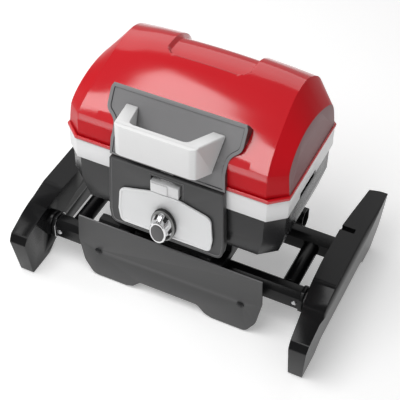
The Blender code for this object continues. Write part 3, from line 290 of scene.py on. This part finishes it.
# Grey-pink over the red enamel: a painted reflection on the lid's upright end panels.
end_panel_painted_reflection = coated("end_panel_painted_reflection", (0.25, 0.125, 0.13), 0.42, 420, 0.00001, 0.03, specular=0.2)
black_enamel = coated("black_enamel", (0.015, 0.015, 0.016), 0.24, 900, 0.00003, specular=0.32)
panel_black = coated("panel_black", (0.036, 0.036, 0.037), 0.38, 1800, 0.00005)
silver_paint = coated("silver_paint", (0.74, 0.74, 0.745), 0.34, 2400, 0.00003, 0.03, metallic=0.2)
bezel_silver = coated("bezel_silver", (0.76, 0.765, 0.77), 0.34, 2400, 0.00003, 0.03, metallic=0.1)
plate_grey = coated("plate_grey", (0.200, 0.198, 0.202), 0.46, 1600, 0.00008)
stand_plate = coated("stand_plate", (0.045, 0.045, 0.046), 0.42, 1700, 0.00008)
handle_grey = coated("handle_grey", (0.76, 0.76, 0.76), 0.40, 1700, 0.00005, 0.03)
stand_black = coated("stand_black", (0.0045, 0.0045, 0.0050), 0.26, 1500, 0.00004, specular=0.24)
dial_grey = coated("dial_grey", (0.23, 0.23, 0.225), 0.34, 1800, 0.00004, metallic=0.4)
cap_grey = coated("cap_grey", (0.085, 0.083, 0.085), 0.42, 1800, 0.00005)
pad_rubber = coated("pad_rubber", (0.012, 0.012, 0.012), 0.80, 900, 0.00012)
electrode_white = coated("electrode_white", (0.75, 0.73, 0.68), 0.30, 800, 0.00004)

# %% [markdown]
# ## Bare metals
# Rolled or drawn metal has a direction: fine lines along the way it went through the mill. A noise that
# is stretched along one axis gives those lines. Chrome has almost none, cast iron has a coarse sandy
# skin instead, and a burner is tinted brown and blue by its own heat.

# %% Metal finishes


def rolled_metal(name, colour, roughness, along="X", line_depth=0.00002, tint=None):
    """Metal with fine lines along one axis and, where asked, a tint from heat."""
    made = Finish(name, Metallic=1.0)
    stretch = {"X": (1, 40, 40), "Y": (40, 1, 40), "Z": (40, 40, 1)}[along]
    lines = made.noise(30, 3, stretch)
    cloud = made.noise(22, 3)
    base = made.between(lines, shade(colour, 0.82), colour)
    if tint:
        base = made.between(made.limit(cloud, 0.45, 0.65), base, tint)
    made.feed("Base Color", base)
    made.feed("Roughness", roughness - 0.06 + lines * 0.08 + cloud * 0.05)
    made.relief(lines, line_depth)
    return made.material


def cast_metal(name, colour, roughness):
    """A sand-cast skin: coarse grain with darker hollows."""
    made = Finish(name, Metallic=0.6)
    sand = made.noise(700, 4)
    patch = made.noise(35, 3)
    made.feed("Base Color", made.between(sand * patch, shade(colour, 0.55), shade(colour, 1.3)))
    made.feed("Roughness", roughness + sand * 0.12)
    made.relief(sand, 0.0003)
    return made.material


chrome = rolled_metal("chrome", (0.86, 0.86, 0.87), 0.10, "Z", 0.000004)
brushed_steel = rolled_metal("brushed_steel", (0.55, 0.55, 0.56), 0.34)
bowl_steel = rolled_metal("bowl_steel", (0.36, 0.35, 0.34), 0.42, "X", 0.00002, (0.20, 0.15, 0.11))
burner_steel = rolled_metal("burner_steel", (0.45, 0.42, 0.40), 0.36, "X", 0.00001, (0.22, 0.17, 0.20))
turned_brass = rolled_metal("turned_brass", (0.72, 0.52, 0.22), 0.26, "X")
grate_iron = cast_metal("grate_iron", (0.035, 0.034, 0.033), 0.50)

# %% [markdown]
# ## Breaking the edges
# A solid from a CAD drawing has knife edges, and no real moulding, casting or folded sheet has one. The
# edge is where light catches a part, so each solid is copied, its triangles are merged back into whole
# faces, and every edge sharper than a limit gets a narrow rounding with the bevel operator. A bevel
# modifier would do it too, but the operator lets a few edges be picked out for a wider rounding.

# %% Shaping helpers
MERGE = 0.00001


def copy_of(node):
    """A solid's shape as whole faces: doubles merged, flat neighbours joined."""
    bm = bmesh.new()
    bm.from_mesh(frame["nodes"][node].data)
    bmesh.ops.remove_doubles(bm, verts=bm.verts, dist=MERGE)
    bmesh.ops.dissolve_limit(bm, angle_limit=math.radians(0.5), verts=bm.verts, edges=bm.edges)
    return bm


def middle(item):
    """The middle of an edge or a face."""
    return sum((vert.co for vert in item.verts), Vector()) / len(item.verts)


def bevel_edges(bm, edges, width, segments):
    bmesh.ops.bevel(bm, geom=edges, offset=width, offset_type="OFFSET", segments=segments, profile=0.5,
                    affect="EDGES", clamp_overlap=True, material=-1)


def along(edge):
    """The vector from one end of an edge to the other."""
    return edge.verts[1].co - edge.verts[0].co


def round_edges(bm, width, segments=2, sharper_than=30, where=None):
    """Rounds the edges that are sharper than an angle, or those of them that a test picks."""
    limit = math.radians(sharper_than)
    edges = [edge for edge in bm.edges if len(edge.link_faces) == 2 and edge.calc_face_angle(0) > limit]
    if where:
        edges = [edge for edge in edges if where(middle(edge), edge)]
    if edges:
        bevel_edges(bm, edges, width, segments)
    return len(edges)


def step_in(bm, faces, border, step, depth):
    """Leaves a border round a group of faces, sinks what is inside it and marks the wall between them."""
    for thickness, sink in ((border, 0), (step, -depth)):
        wall = bmesh.ops.inset_region(bm, faces=faces, thickness=thickness, depth=sink,
                                      use_even_offset=False, use_boundary=True)["faces"]
    for face in wall:
        face.material_index = 1


def extrude_loop(bm, edges):
    """Extrudes a loop of edges and returns the new loop's edges and vertices."""
    made = bmesh.ops.extrude_edge_only(bm, edges=edges)["geom"]
    verts = [item for item in made if isinstance(item, bmesh.types.BMVert)]
    return [item for item in made if isinstance(item, bmesh.types.BMEdge)
            and item.verts[0] in verts and item.verts[1] in verts], verts


def block(size, place, bm=None):
    """A box of that size round a place, added to a bmesh or to a new one."""
    bm = bm or bmesh.new()
    made = bmesh.ops.create_cube(bm, size=1)["verts"]
    bmesh.ops.scale(bm, vec=size, verts=made)
    bmesh.ops.translate(bm, vec=place, verts=made)
    return bm


def disc(radius, end_radius, start, end, sides=32):
    """A round or tapering disc between two points."""
    bm = bmesh.new()
    start, end = Vector(start), Vector(end)
    axis = end - start
    bmesh.ops.create_cone(bm, cap_ends=True, segments=sides, radius1=radius, radius2=end_radius,
                          depth=axis.length)
    turn = Vector((0, 0, 1)).rotation_difference(axis).to_matrix().to_4x4()
    bmesh.ops.transform(bm, matrix=Matrix.Translation((start + end) / 2) @ turn, verts=bm.verts)
    return bm


def place_piece(bm, name, body, look, stands_for=(), smooth=35):
    """Turns a bmesh into a piece that rides on a body and takes a finish."""
    mesh = bpy.data.meshes.new(name)
    bm.to_mesh(mesh)
    bm.free()
    mesh.materials.append(look)
    mesh.shade_smooth()
    mesh.set_sharp_from_angle(angle=math.radians(smooth))
    piece = bpy.data.objects.new(name, mesh)
    bpy.context.scene.collection.objects.link(piece)
    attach(piece, body)
    if stands_for:
        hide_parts(*stands_for)
    return piece


def dress(node, bm, look, smooth=35):
    """The finished piece that stands for one solid."""
    return place_piece(bm, node + "_shaped", BODY_OF[node], look, [node], smooth)


# %% [markdown]
# ## The lid
# The lid is one pressed sheet. Its front stands upright, turns over a narrow bright step and leans back
# to a crown behind the middle, and it falls steeply at the rear. Each end is closed by a sloping facet
# and an upright panel. It could be sculpted from a cube, but the shape is really one outline carried
# sideways, so a grid is laid over it: one direction follows the outline and the other the width. A second
# outline, point for point beside the first, gives the top of the end panel.

# %% Lid outline
BAND_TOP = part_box("rim_band")[1].z
RIM_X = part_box("rim_band")[1].x
RIM_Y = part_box("rim_band")[1].y
CORNER_X, CORNER_Y = 0.030, 0.026       # the flat across each corner of the rim
LID_LIFT = 0.0018                       # the lid's skin starts this far above the band
RIDGE_X = RIM_X - CORNER_X - 0.004      # where the roof meets the end facet
END_LEAN = 0.010                        # how far the top of the end panel leans in
END_TOP = 0.090
CROWN_BOW = 0.012
RIDGE_LEAN = 0.012                      # how far the ridge leans in at the crown
LEAN_START = 0.110                      # the roof leans in from this X outwards,
LEAN_FROM, LEAN_OVER = 0.055, 0.070     # above this rise and more and more over the next
BOW_FROM, BOW_OVER = 0.060, 0.060       # the same for the bow along X
SKIRT = [(-0.130, LID_LIFT), (-0.1297, 0.020), (-0.1292, 0.040), (-0.1290, 0.0445), (-0.1288, 0.0475),
         (-0.1276, 0.0575), (-0.1270, 0.0590)]
ROOF = [(-0.1155, 0.0702), (-0.098, 0.082), (-0.078, 0.092), (-0.055, 0.102), (-0.030, 0.1125),
        (-0.005, 0.1213), (0.019, 0.1266), (0.040, 0.1275), (0.062, 0.1250), (0.0866, 0.1145),
        (0.108, 0.0995), (0.122, 0.078), (0.1285, 0.055), (0.130, 0.030), (0.130, LID_LIFT)]
END_SKIRT = [(-0.104, LID_LIFT), (-0.104, 0.018), (-0.1037, 0.034), (-0.1034, 0.0410), (-0.1032, 0.0425),
             (-0.1022, 0.0505), (-0.1016, 0.0520)]
END_ROOF = [(-0.0975, 0.0590), (-0.086, 0.0690), (-0.070, 0.0780), (-0.050, 0.0850), (-0.028, 0.0890),
            (-0.006, 0.0895), (0.015, 0.0875), (0.033, 0.0840), (0.052, 0.0790), (0.070, 0.0725),
            (0.086, 0.0650), (0.096, 0.0565), (0.1020, 0.0450), (0.104, 0.026), (0.104, LID_LIFT)]


def smooth_line(points, pieces):
    """A Catmull-Rom curve through points, each span cut into pieces."""
    padded = [points[0], *points, points[-1]]
    line = [points[0]]
    for before, start, end, after in zip(padded, padded[1:], padded[2:], padded[3:]):
        for step in range(1, pieces + 1):
            t = step / pieces
            line.append(tuple(0.5 * (2 * b + (c - a) * t + (2 * a - 5 * b + 4 * c - d) * t ** 2
                                     + (3 * b - a - 3 * c + d) * t ** 3)
                              for a, b, c, d in zip(before, start, end, after)))
    return line


lid_line = SKIRT + smooth_line(ROOF, 7)
end_line = END_SKIRT + smooth_line(END_ROOF, 7)
print("lid outline:", len(lid_line), "points, crown at", round(max(rise for _, rise in lid_line), 4))

# %% [markdown]
# The rear of the roof has a shallow tray pressed into it, open to the back, with round front corners.
# It is cut by lowering the grid: the distance to a rounded rectangle says how far each point goes down.

# %% Lid surface
RECESS_HALF = 0.078
RECESS_FRONT = 0.010
RECESS_CORNER = 0.020
RECESS_DEPTH = 0.0085
RECESS_SLOPE = 0.0028
COLUMN_STEP = 0.0026
FACET_COLUMNS = 8
# The step rows take the painted glint; the rows below them and the end facets take the painted shade.
STEP_ROWS = range(4, 7)                  # rows of the bright step across the front


def ease(value):
    value = max(0.0, min(1.0, value))
    return value * value * (3 - 2 * value)


def recess_depth(x, y, rise):
    """How far the pressed tray lowers the roof at one place."""
    reach = 0.2
    out_x = abs(x) - (RECESS_HALF - RECESS_CORNER)
    out_y = abs(y - RECESS_FRONT - reach) - (reach - RECESS_CORNER)
    distance = math.hypot(max(out_x, 0), max(out_y, 0)) + min(max(out_x, out_y), 0) - RECESS_CORNER
    inside = ease(0.5 - distance / (2 * RECESS_SLOPE))
    return RECESS_DEPTH * inside * ease((rise - 0.052) / 0.03)


def lid_place(x, row):
    """The place of one row of the outline at x, on the roof or on the facet towards the end panel."""
    y, rise = lid_line[row]
    ridge = min(abs(x), RIDGE_X)
    roof = max(0.0, min(1.0, (rise - BOW_FROM) / BOW_OVER))
    bow = CROWN_BOW * roof * max(0.0, 1 - (ridge / (RIM_X - CORNER_X)) ** 2)
    down = recess_depth(x, y, rise)
    high = max(0.0, min(1.0, (rise - LEAN_FROM) / LEAN_OVER))
    lean = RIDGE_LEAN * high * ease((ridge - LEAN_START) / (RIDGE_X - LEAN_START))
    on_roof = Vector((math.copysign(ridge - lean, x), y - 0.6 * down * ease((y - 0.07) / 0.03),
                      BAND_TOP + rise + bow - down))
    if abs(x) <= RIDGE_X:
        return on_roof
    end_y, end_rise = end_line[row]
    at_end = Vector((math.copysign(RIM_X - END_LEAN * end_rise / END_TOP, x), end_y, BAND_TOP + end_rise))
    return on_roof.lerp(at_end, (abs(x) - RIDGE_X) / (RIM_X - RIDGE_X))


roof_columns = round(RIDGE_X / COLUMN_STEP)
half_columns = [RIDGE_X * step / roof_columns for step in range(roof_columns)]
half_columns += [RIDGE_X + (RIM_X - RIDGE_X) * step / FACET_COLUMNS for step in range(FACET_COLUMNS + 1)]
columns = [-x for x in reversed(half_columns[1:])] + half_columns

bm = bmesh.new()
bmesh.ops.create_grid(bm, x_segments=len(columns) - 1, y_segments=len(lid_line) - 1, size=0.5)
ends = {0: [], len(columns) - 1: []}
ridges = set()
painted_shade_verts = set()
painted_glint_verts = set()
for vert in bm.verts:
    column = round((vert.co.x + 0.5) * (len(columns) - 1))
    row = round((vert.co.y + 0.5) * (len(lid_line) - 1))
    vert.co = lid_place(columns[column], row)
    if column in ends:
        ends[column].append((row, vert))
    if abs(abs(columns[column]) - RIDGE_X) < MERGE:
        ridges.add(vert)
    if abs(columns[column]) > RIDGE_X - MERGE or row < STEP_ROWS[0]:
        painted_shade_verts.add(vert)
    elif row in STEP_ROWS:
        painted_glint_verts.add(vert)
print("lid grid:", len(columns), "by", len(lid_line))

# %% [markdown]
# The end panels close the grid: a crescent between the sloping facet and the rolled lower edge, filled as
# one face. The two ridges of the roof and the crescent's outline are bevelled by different widths, which
# gives each its own highlight, and a modifier gives the sheet its thickness. The crescents take a painted
# reflection, the skirt and the sloping facets a painted shade, and the step across the front a painted
# glint.

# %% Lid ends and thickness
LID_WALL = 0.0018
RIDGE_ROUND = 0.0026
CRESCENT_ROUND = 0.0012

ridge_edges = [edge for edge in bm.edges if edge.verts[0] in ridges and edge.verts[1] in ridges
               and edge.calc_face_angle(0) > math.radians(12)]
crescents = [bm.faces.new([vert for _, vert in sorted(ring, key=lambda item: item[0])])
             for ring in ends.values()]
# Skirt and end-facet faces take the painted shade (slot 2), step faces the painted glint (slot 3), crescents
# the painted reflection (slot 1).
for face in bm.faces:
    if painted_shade_verts.issuperset(face.verts):
        face.material_index = 2
    if painted_glint_verts.issuperset(face.verts):
        face.material_index = 3
for face in crescents:
    face.material_index = 1
bmesh.ops.recalc_face_normals(bm, faces=bm.faces)
if max(bm.faces, key=lambda face: middle(face).z).normal.z < 0:
    bmesh.ops.reverse_faces(bm, faces=bm.faces)
bevel_edges(bm, ridge_edges, RIDGE_ROUND, 3)
outlines = [edge for face in crescents for edge in face.edges
            if len(edge.link_faces) == 2 and edge.calc_face_angle(0) > math.radians(15)]
bevel_edges(bm, outlines, CRESCENT_ROUND, 2)
bmesh.ops.triangulate(bm, faces=[face for face in bm.faces if len(face.verts) > 4])
lid = place_piece(bm, "lid_skin", "lid", red_enamel, ["lid_shell"], smooth=22)
lid.data.materials.append(end_panel_painted_reflection)
lid.data.materials.append(red_painted_shade)
lid.data.materials.append(red_painted_glint)
wall = lid.modifiers.new("wall", "SOLIDIFY")
wall.thickness = LID_WALL
wall.offset = -1
print("lid skin:", len(lid.data.polygons), "faces")

# %% [markdown]
# The lid's lower edge is rolled outwards into a bead, which stiffens it and sheds rain past the band.
# The bead follows the rim's plan, a rectangle with its corners cut off, so it starts as that one loop of
# edges and is extruded round its section, back to where it began.

# %% Lid bead


def rim_loop(grow, height):
    """The rim's plan with its corners cut off, grown by a little, at a height above the band."""
    half_x, half_y = RIM_X + grow, RIM_Y + grow
    cut_x, cut_y = half_x - CORNER_X, half_y - CORNER_Y
    plan = [(cut_x, -half_y), (half_x, -cut_y), (half_x, cut_y), (cut_x, half_y),
            (-cut_x, half_y), (-half_x, cut_y), (-half_x, -cut_y), (-cut_x, -half_y)]
    return [Vector((x, y, BAND_TOP + height)) for x, y in plan]


def rim_ring(grow, thick, low, high):
    """A closed band that follows the rim's plan between two heights above the band's top."""
    bm = bmesh.new()
    corners = [bm.verts.new(place) for place in rim_loop(grow, low)]
    loop = [bm.edges.new(pair) for pair in zip(corners, corners[1:] + corners[:1])]
    for place in (rim_loop(grow - thick, low), rim_loop(grow - thick, high), rim_loop(grow, high),
                  rim_loop(grow, low)):
        loop, verts = extrude_loop(bm, loop)
        for vert in verts:
            vert.co = min(place, key=lambda corner: (corner.xy - vert.co.xy).length)
    bmesh.ops.remove_doubles(bm, verts=bm.verts, dist=MERGE)
    bmesh.ops.recalc_face_normals(bm, faces=bm.faces)
    return bm


bead = rim_ring(0.0019, 0.0045, 0.0012, 0.0085)
round_edges(bead, 0.0019, 3)
place_piece(bead, "lid_bead", "lid", red_enamel)
print("bead follows a rim of", round(2 * RIM_X, 3), "by", round(2 * RIM_Y, 3))

# %% [markdown]
# ## The moulding behind the handle
# A thick grey moulding stands proud of the lid's front and carries the handle. Its face is sunk inside
# a raised border. The four strips of its front are found by the way they face and sunk as one group. Its
# flanks and the wall of the border are painted black: painted shade down its sides and in the crease round
# its face.

# %% Handle moulding
shape = copy_of("handle_plate")
front = [face for face in shape.faces if face.normal.y < -0.35 and face.calc_area() > 0.0006]
# The border's wall takes the second finish, black: a painted shade line in the crease.
step_in(shape, front, 0.0060, 0.0011, 0.0020)
# The flanks take the black too: painted shade down the moulding's sides.
for face in shape.faces:
    if abs(face.normal.x) > 0.35:
        face.material_index = 1
round_edges(shape, 0.0014, 3, 35)
moulding = dress("handle_plate", shape, plate_grey)
moulding.data.materials.append(panel_black)
print("front strips of the moulding:", len(front))

# %% [markdown]
# ## The handle
# The handle is a deep U in light grey. The outer top corner of each arm is cut by a wide chamfer, which
# is the same bevel with one segment, and the grip's own edges are rounded for the hand.

# %% Handle
shape = copy_of("lid_handle")
arm_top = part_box("lid_handle")[1].z
ARM_INSIDE = 0.080                      # both arms stand outside this X


def is_arm_shoulder(place, edge):
    return (abs(place.x) > ARM_INSIDE and place.z > arm_top - 0.012 and abs(along(edge).y) > 0.02
            and any(abs(face.normal.x) > 0.7 for face in edge.link_faces))


shoulders = round_edges(shape, 0.010, 1, 30, is_arm_shoulder)
round_edges(shape, 0.0028, 3, 35)
dress("lid_handle", shape, handle_grey)
print("arm shoulders cut:", shoulders)

# %% [markdown]
# ## The firebox, the band and the front panel
# The firebox is a folded tub, the band is a painted strip round its mouth, and the front panel is a
# moulding with a raised border, a slot for the latch and a hole for the gas valve. The panel's face is
# sunk like the handle moulding's, which also leaves a lip round the slot and the hole.

# %% Firebox outside
shape = copy_of("body_shell")
round_edges(shape, 0.0030, 3, 28, lambda place, edge: abs(place.z - BAND_TOP) > 0.002)
dress("body_shell", shape, black_enamel)

shape = copy_of("rim_band")
round_edges(shape, 0.0010, 2, 30)
dress("rim_band", shape, silver_paint)

shape = copy_of("front_panel")
panel_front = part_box("front_panel")[0].y
face = [face for face in shape.faces if face.normal.y < -0.99 and middle(face).y < panel_front + 0.0005]
# The wall round the sunk face takes the second finish, a paler grey: a painted highlight line round the
# border.
step_in(shape, face, 0.0040, 0.0006, 0.0010)
round_edges(shape, 0.0012, 2, 35)
panel = dress("front_panel", shape, panel_black)
panel.data.materials.append(plate_grey)

shape = copy_of("control_bezel")
bezel_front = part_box("control_bezel")[0].y
face = [face for face in shape.faces if face.normal.y < -0.99 and middle(face).y < bezel_front + 0.0005]
step_in(shape, face, 0.0042, 0.0009, 0.0014)
round_edges(shape, 0.0014, 3, 35)
bezel = dress("control_bezel", shape, bezel_silver)
bezel.data.materials.append(silver_paint)
print("panel front at", round(panel_front, 4), "and bezel front at", round(bezel_front, 4))

# %% [markdown]
# The latch is a short slide. A pad stands proud on its left part for the thumb.

# %% Latch
PAD_PROUD = 0.0022
PAD_INSET = 0.0015
PAD_WIDTH = 0.0325
LATCH_HEIGHT = 0.024
shape = copy_of("latch_slide")
round_edges(shape, 0.0007, 2, 35)
dress("latch_slide", shape, silver_paint)
low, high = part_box("latch_slide")
pad = block((PAD_WIDTH, PAD_PROUD, LATCH_HEIGHT - 2 * PAD_INSET),
            (low.x + PAD_INSET + PAD_WIDTH / 2, low.y - PAD_PROUD / 2, low.z + LATCH_HEIGHT / 2))
round_edges(pad, 0.0008, 2, 30)
place_piece(pad, "latch_thumb_pad", "latch", silver_paint)
print("thumb pad", PAD_WIDTH, "wide")

# %% [markdown]
# ## The gas knob
# The knob is an upright oval in three layers: a dark dial, a chromed grip with finger notches, and a
# grey cap let into its front. The grip is a ring that is carried forward and tapered by extrusion; each
# notch is a dent that the angle round the ring works out.

# %% Knob
KNOB_NOTCHES = 6
NOTCH_WIDTH = math.radians(12)
NOTCH_DEPTH = 0.17
grip_low, grip_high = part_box("knob_grip")
knob_z = (grip_low.z + grip_high.z) / 2
grip_back = grip_high.y
grip_nose = grip_low.y


def notch(angle, share):
    """How much the ring is pulled in at an angle: 0 between the notches."""
    spacing = 2 * math.pi / KNOB_NOTCHES
    offset = (angle - spacing / 2) % spacing - spacing / 2
    return NOTCH_DEPTH * share * math.exp(-(offset / NOTCH_WIDTH) ** 2)


stages = [(0.0205, 0.0330, grip_back, 1.0), (0.0203, 0.0326, grip_back - 0.004, 1.0),
          (0.0185, 0.0292, grip_back - 0.010, 0.8), (0.0168, 0.0262, grip_nose + 0.005, 0.3),
          (0.0162, 0.0252, grip_nose + 0.0012, 0.0), (0.0152, 0.0238, grip_nose, 0.0),
          (0.0132, 0.0204, grip_nose, 0.0), (0.0129, 0.0200, grip_nose + 0.0026, 0.0)]
bm = bmesh.new()
bmesh.ops.create_circle(bm, cap_ends=False, segments=96, radius=1.0)
loop = bm.edges[:]
rings = [bm.verts[:]]
for _ in stages[1:]:
    loop, ring = extrude_loop(bm, loop)
    rings.append(ring)
for ring, (half_x, half_z, y, share) in zip(rings, stages):
    for vert in ring:
        angle = math.atan2(vert.co.y, vert.co.x)
        pull = 1 - notch(angle, share)
        vert.co = (half_x * pull * math.cos(angle), y, knob_z + half_z * pull * math.sin(angle))
bmesh.ops.holes_fill(bm, edges=bm.edges, sides=0)
bmesh.ops.recalc_face_normals(bm, faces=bm.faces)
for face in bm.faces:
    place = middle(face)
    angle = math.atan2((place.z - knob_z) / stages[0][1], place.x / stages[0][0])
    if notch(angle, 1) > 0.5 * NOTCH_DEPTH and place.y > grip_back - 0.012 and abs(face.normal.y) < 0.9:
        face.material_index = 1
grip = dress("knob_grip", bm, chrome, 30)
grip.data.materials.append(pad_rubber)

shape = copy_of("knob_dial")
round_edges(shape, 0.0012, 3, 50)
for face in shape.faces:
    if face.normal.y > -0.8:
        face.material_index = 1
dial = dress("knob_dial", shape, dial_grey)
dial.data.materials.append(pad_rubber)

shape = copy_of("knob_cap")
round_edges(shape, 0.0008, 3, 50)
dress("knob_cap", shape, cap_grey)

POINTER = (0.007, 0.008, 0.013)
dial_low, dial_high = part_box("knob_dial")
pointer = block(POINTER, (0, dial_low.y - POINTER[1] / 2 + 0.002, dial_low.z + POINTER[2] / 2 + 0.001))
round_edges(pointer, 0.0012, 3, 30)
place_piece(pointer, "knob_pointer", "knob", chrome)
print("knob stands", round(bezel_front - grip_nose, 4), "out of the bezel")

# %% [markdown]
# ## Everything else that only needs its edges broken
# Tubes, plates, rails, brackets, bars and the cooking parts already have their true shape. One table
# says which finish each takes and how wide its roundings are, and a loop does the rest. The front plate
# also gets round corners and an upper face in a paler grey, a painted highlight, and each collar a bright
# end.

# %% Plain parts
PLATE_CORNER = 0.012
PLAIN = [
    ("rear_plate", stand_plate, 0.0011),
    ("frame_rail_left", stand_black, 0.0015), ("frame_rail_right", stand_black, 0.0015),
    ("hanger_bracket_front", stand_black, 0.0006), ("hanger_bracket_rear", stand_black, 0.0006),
    ("hinge_bracket_left", black_enamel, 0.0005), ("hinge_bracket_right", black_enamel, 0.0005),
    ("hinge_leaf_left", black_enamel, 0.0005), ("hinge_leaf_right", black_enamel, 0.0005),
    ("hinge_pin_left", brushed_steel, 0.0006), ("hinge_pin_right", brushed_steel, 0.0006),
    ("plate_rivet_front", black_enamel, 0.0008), ("plate_rivet_rear", black_enamel, 0.0008),
    ("handle_screw_left", chrome, 0.0008), ("handle_screw_right", chrome, 0.0008),
    ("fire_bowl", bowl_steel, 0.0015), ("cooking_grate", grate_iron, 0.0014),
    ("heat_plate", burner_steel, 0.0004), ("burner_tube", burner_steel, 0.0005),
    ("igniter_electrode", electrode_white, 0.0004), ("valve_body", turned_brass, 0.0006),
    ("valve_stem", turned_brass, 0.0005), ("gas_pipe", brushed_steel, 0.0004),
    ("gas_inlet", turned_brass, 0.0006), ("drip_tray", brushed_steel, 0.0005),
]
for leg in ("left", "right"):
    for place in ("front", "rear"):
        PLAIN.append((f"outer_tube_{leg}_{place}", stand_black, 0.0012))
        PLAIN.append((f"inner_tube_{leg}_{place}", stand_black, 0.0008))
        PLAIN.append((f"pivot_pin_{leg}_leg_{place}", black_enamel, 0.0008))
    PLAIN.append((f"cross_tube_{leg}", stand_black, 0.0010))
    PLAIN.append((f"stop_screw_{leg}", brushed_steel, 0.0004))

for node, look, width in PLAIN:
    shape = copy_of(node)
    round_edges(shape, width, 2, 35)
    dress(node, shape, look)

shape = copy_of("front_plate")
round_edges(shape, PLATE_CORNER, 4, 12, lambda place, edge: abs(along(edge).normalized().y) > 0.9)
round_edges(shape, 0.0013, 2, 40)
# Upward faces take the paler grey: a painted highlight along the plate's top edge.
for face in shape.faces:
    if face.normal.z > 0.5:
        face.material_index = 1
plate = dress("front_plate", shape, stand_plate)
plate.data.materials.append(plate_grey)

for leg in ("left", "right"):
    shape = copy_of("collar_" + leg)
    round_edges(shape, 0.0012, 2, 35)
    for face in shape.faces:
        if abs(face.normal.x) > 0.5:
            face.material_index = 1
    collar = dress("collar_" + leg, shape, stand_black)
    collar.data.materials.append(chrome)
print(len(PLAIN) + 2, "plain parts dressed")

# %% [markdown]
# ## The foot bars
# Each foot bar is a tall moulding with large soft edges and a more widely rounded nose. Rubber pads sit
# under its two ends.

# %% Foot bars
BAR_X = 0.2855                          # the middle of a bar
BAR_WIDTH = 0.0245
RUBBER_HEIGHT = 0.005
RUBBER_PROUD = 0.0008
RUBBER_SPANS = [("front", -0.186, -0.134), ("rear", 0.134, 0.178)]


def is_nose_edge(place, edge):
    return place.y < -0.185 and place.z > 0.07 and abs(along(edge).x) > 0.02


for leg in ("left", "right"):
    node = "foot_bar_" + leg
    shape = copy_of(node)
    round_edges(shape, 0.0075, 4, 10, is_nose_edge)
    round_edges(shape, 0.0035, 3, 38, lambda place, edge: place.z > 0.003 and edge.calc_length() > 0.012)
    dress(node, shape, stand_black, 40)
    low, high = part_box(node)
    for end, near, far in RUBBER_SPANS:
        pad = block((BAR_WIDTH + 2 * RUBBER_PROUD, far - near, RUBBER_HEIGHT),
                    (math.copysign(BAR_X, low.x + high.x), (near + far) / 2, low.z + RUBBER_HEIGHT / 2))
        round_edges(pad, 0.0010, 2, 30)
        place_piece(pad, f"rubber_pad_{leg}_{end}", leg + "_foot", pad_rubber)
print("foot bars", round(high.y - low.y, 3), "long")

# %% [markdown]
# ## Small fittings
# Screws and bolts are what make a machine look made. Each is a short disc with a rounded head; the
# hinge brackets, the rear plate and the firebox's underside have them.

# %% Screws


def screw(name, body, place, facing, radius=0.0035, height=0.0018):
    """A low domed screw head that faces along a direction."""
    place, facing = Vector(place), Vector(facing)
    head = disc(radius, radius * 0.72, place, place + facing * height, 24)
    round_edges(head, radius * 0.16, 2, 30)
    place_piece(head, name, body, brushed_steel)


band_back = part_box("hinge_bracket_left")[0].y + 0.0027
for side, sign in (("left", -1), ("right", 1)):
    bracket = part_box("hinge_bracket_" + side)
    for number, share in enumerate((0.2, 0.8)):
        x = bracket[0].x + (bracket[1].x - bracket[0].x) * share
        screw(f"hinge_screw_{side}_{number}", "base", (x, band_back, BAND_TOP - 0.026), (0, 1, 0), 0.003)
    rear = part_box("rear_plate")
    screw(f"rail_screw_{side}_rear", "base", (sign * 0.095, rear[1].y, 0.141), (0, 1, 0), 0.004)
    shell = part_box("body_shell")
    for end, y in (("front", -0.085), ("rear", 0.085)):
        screw(f"corner_foot_{side}_{end}", "base", (sign * 0.160, y, shell[0].z), (0, 0, -1), 0.006, 0.004)
print("screw heads done")
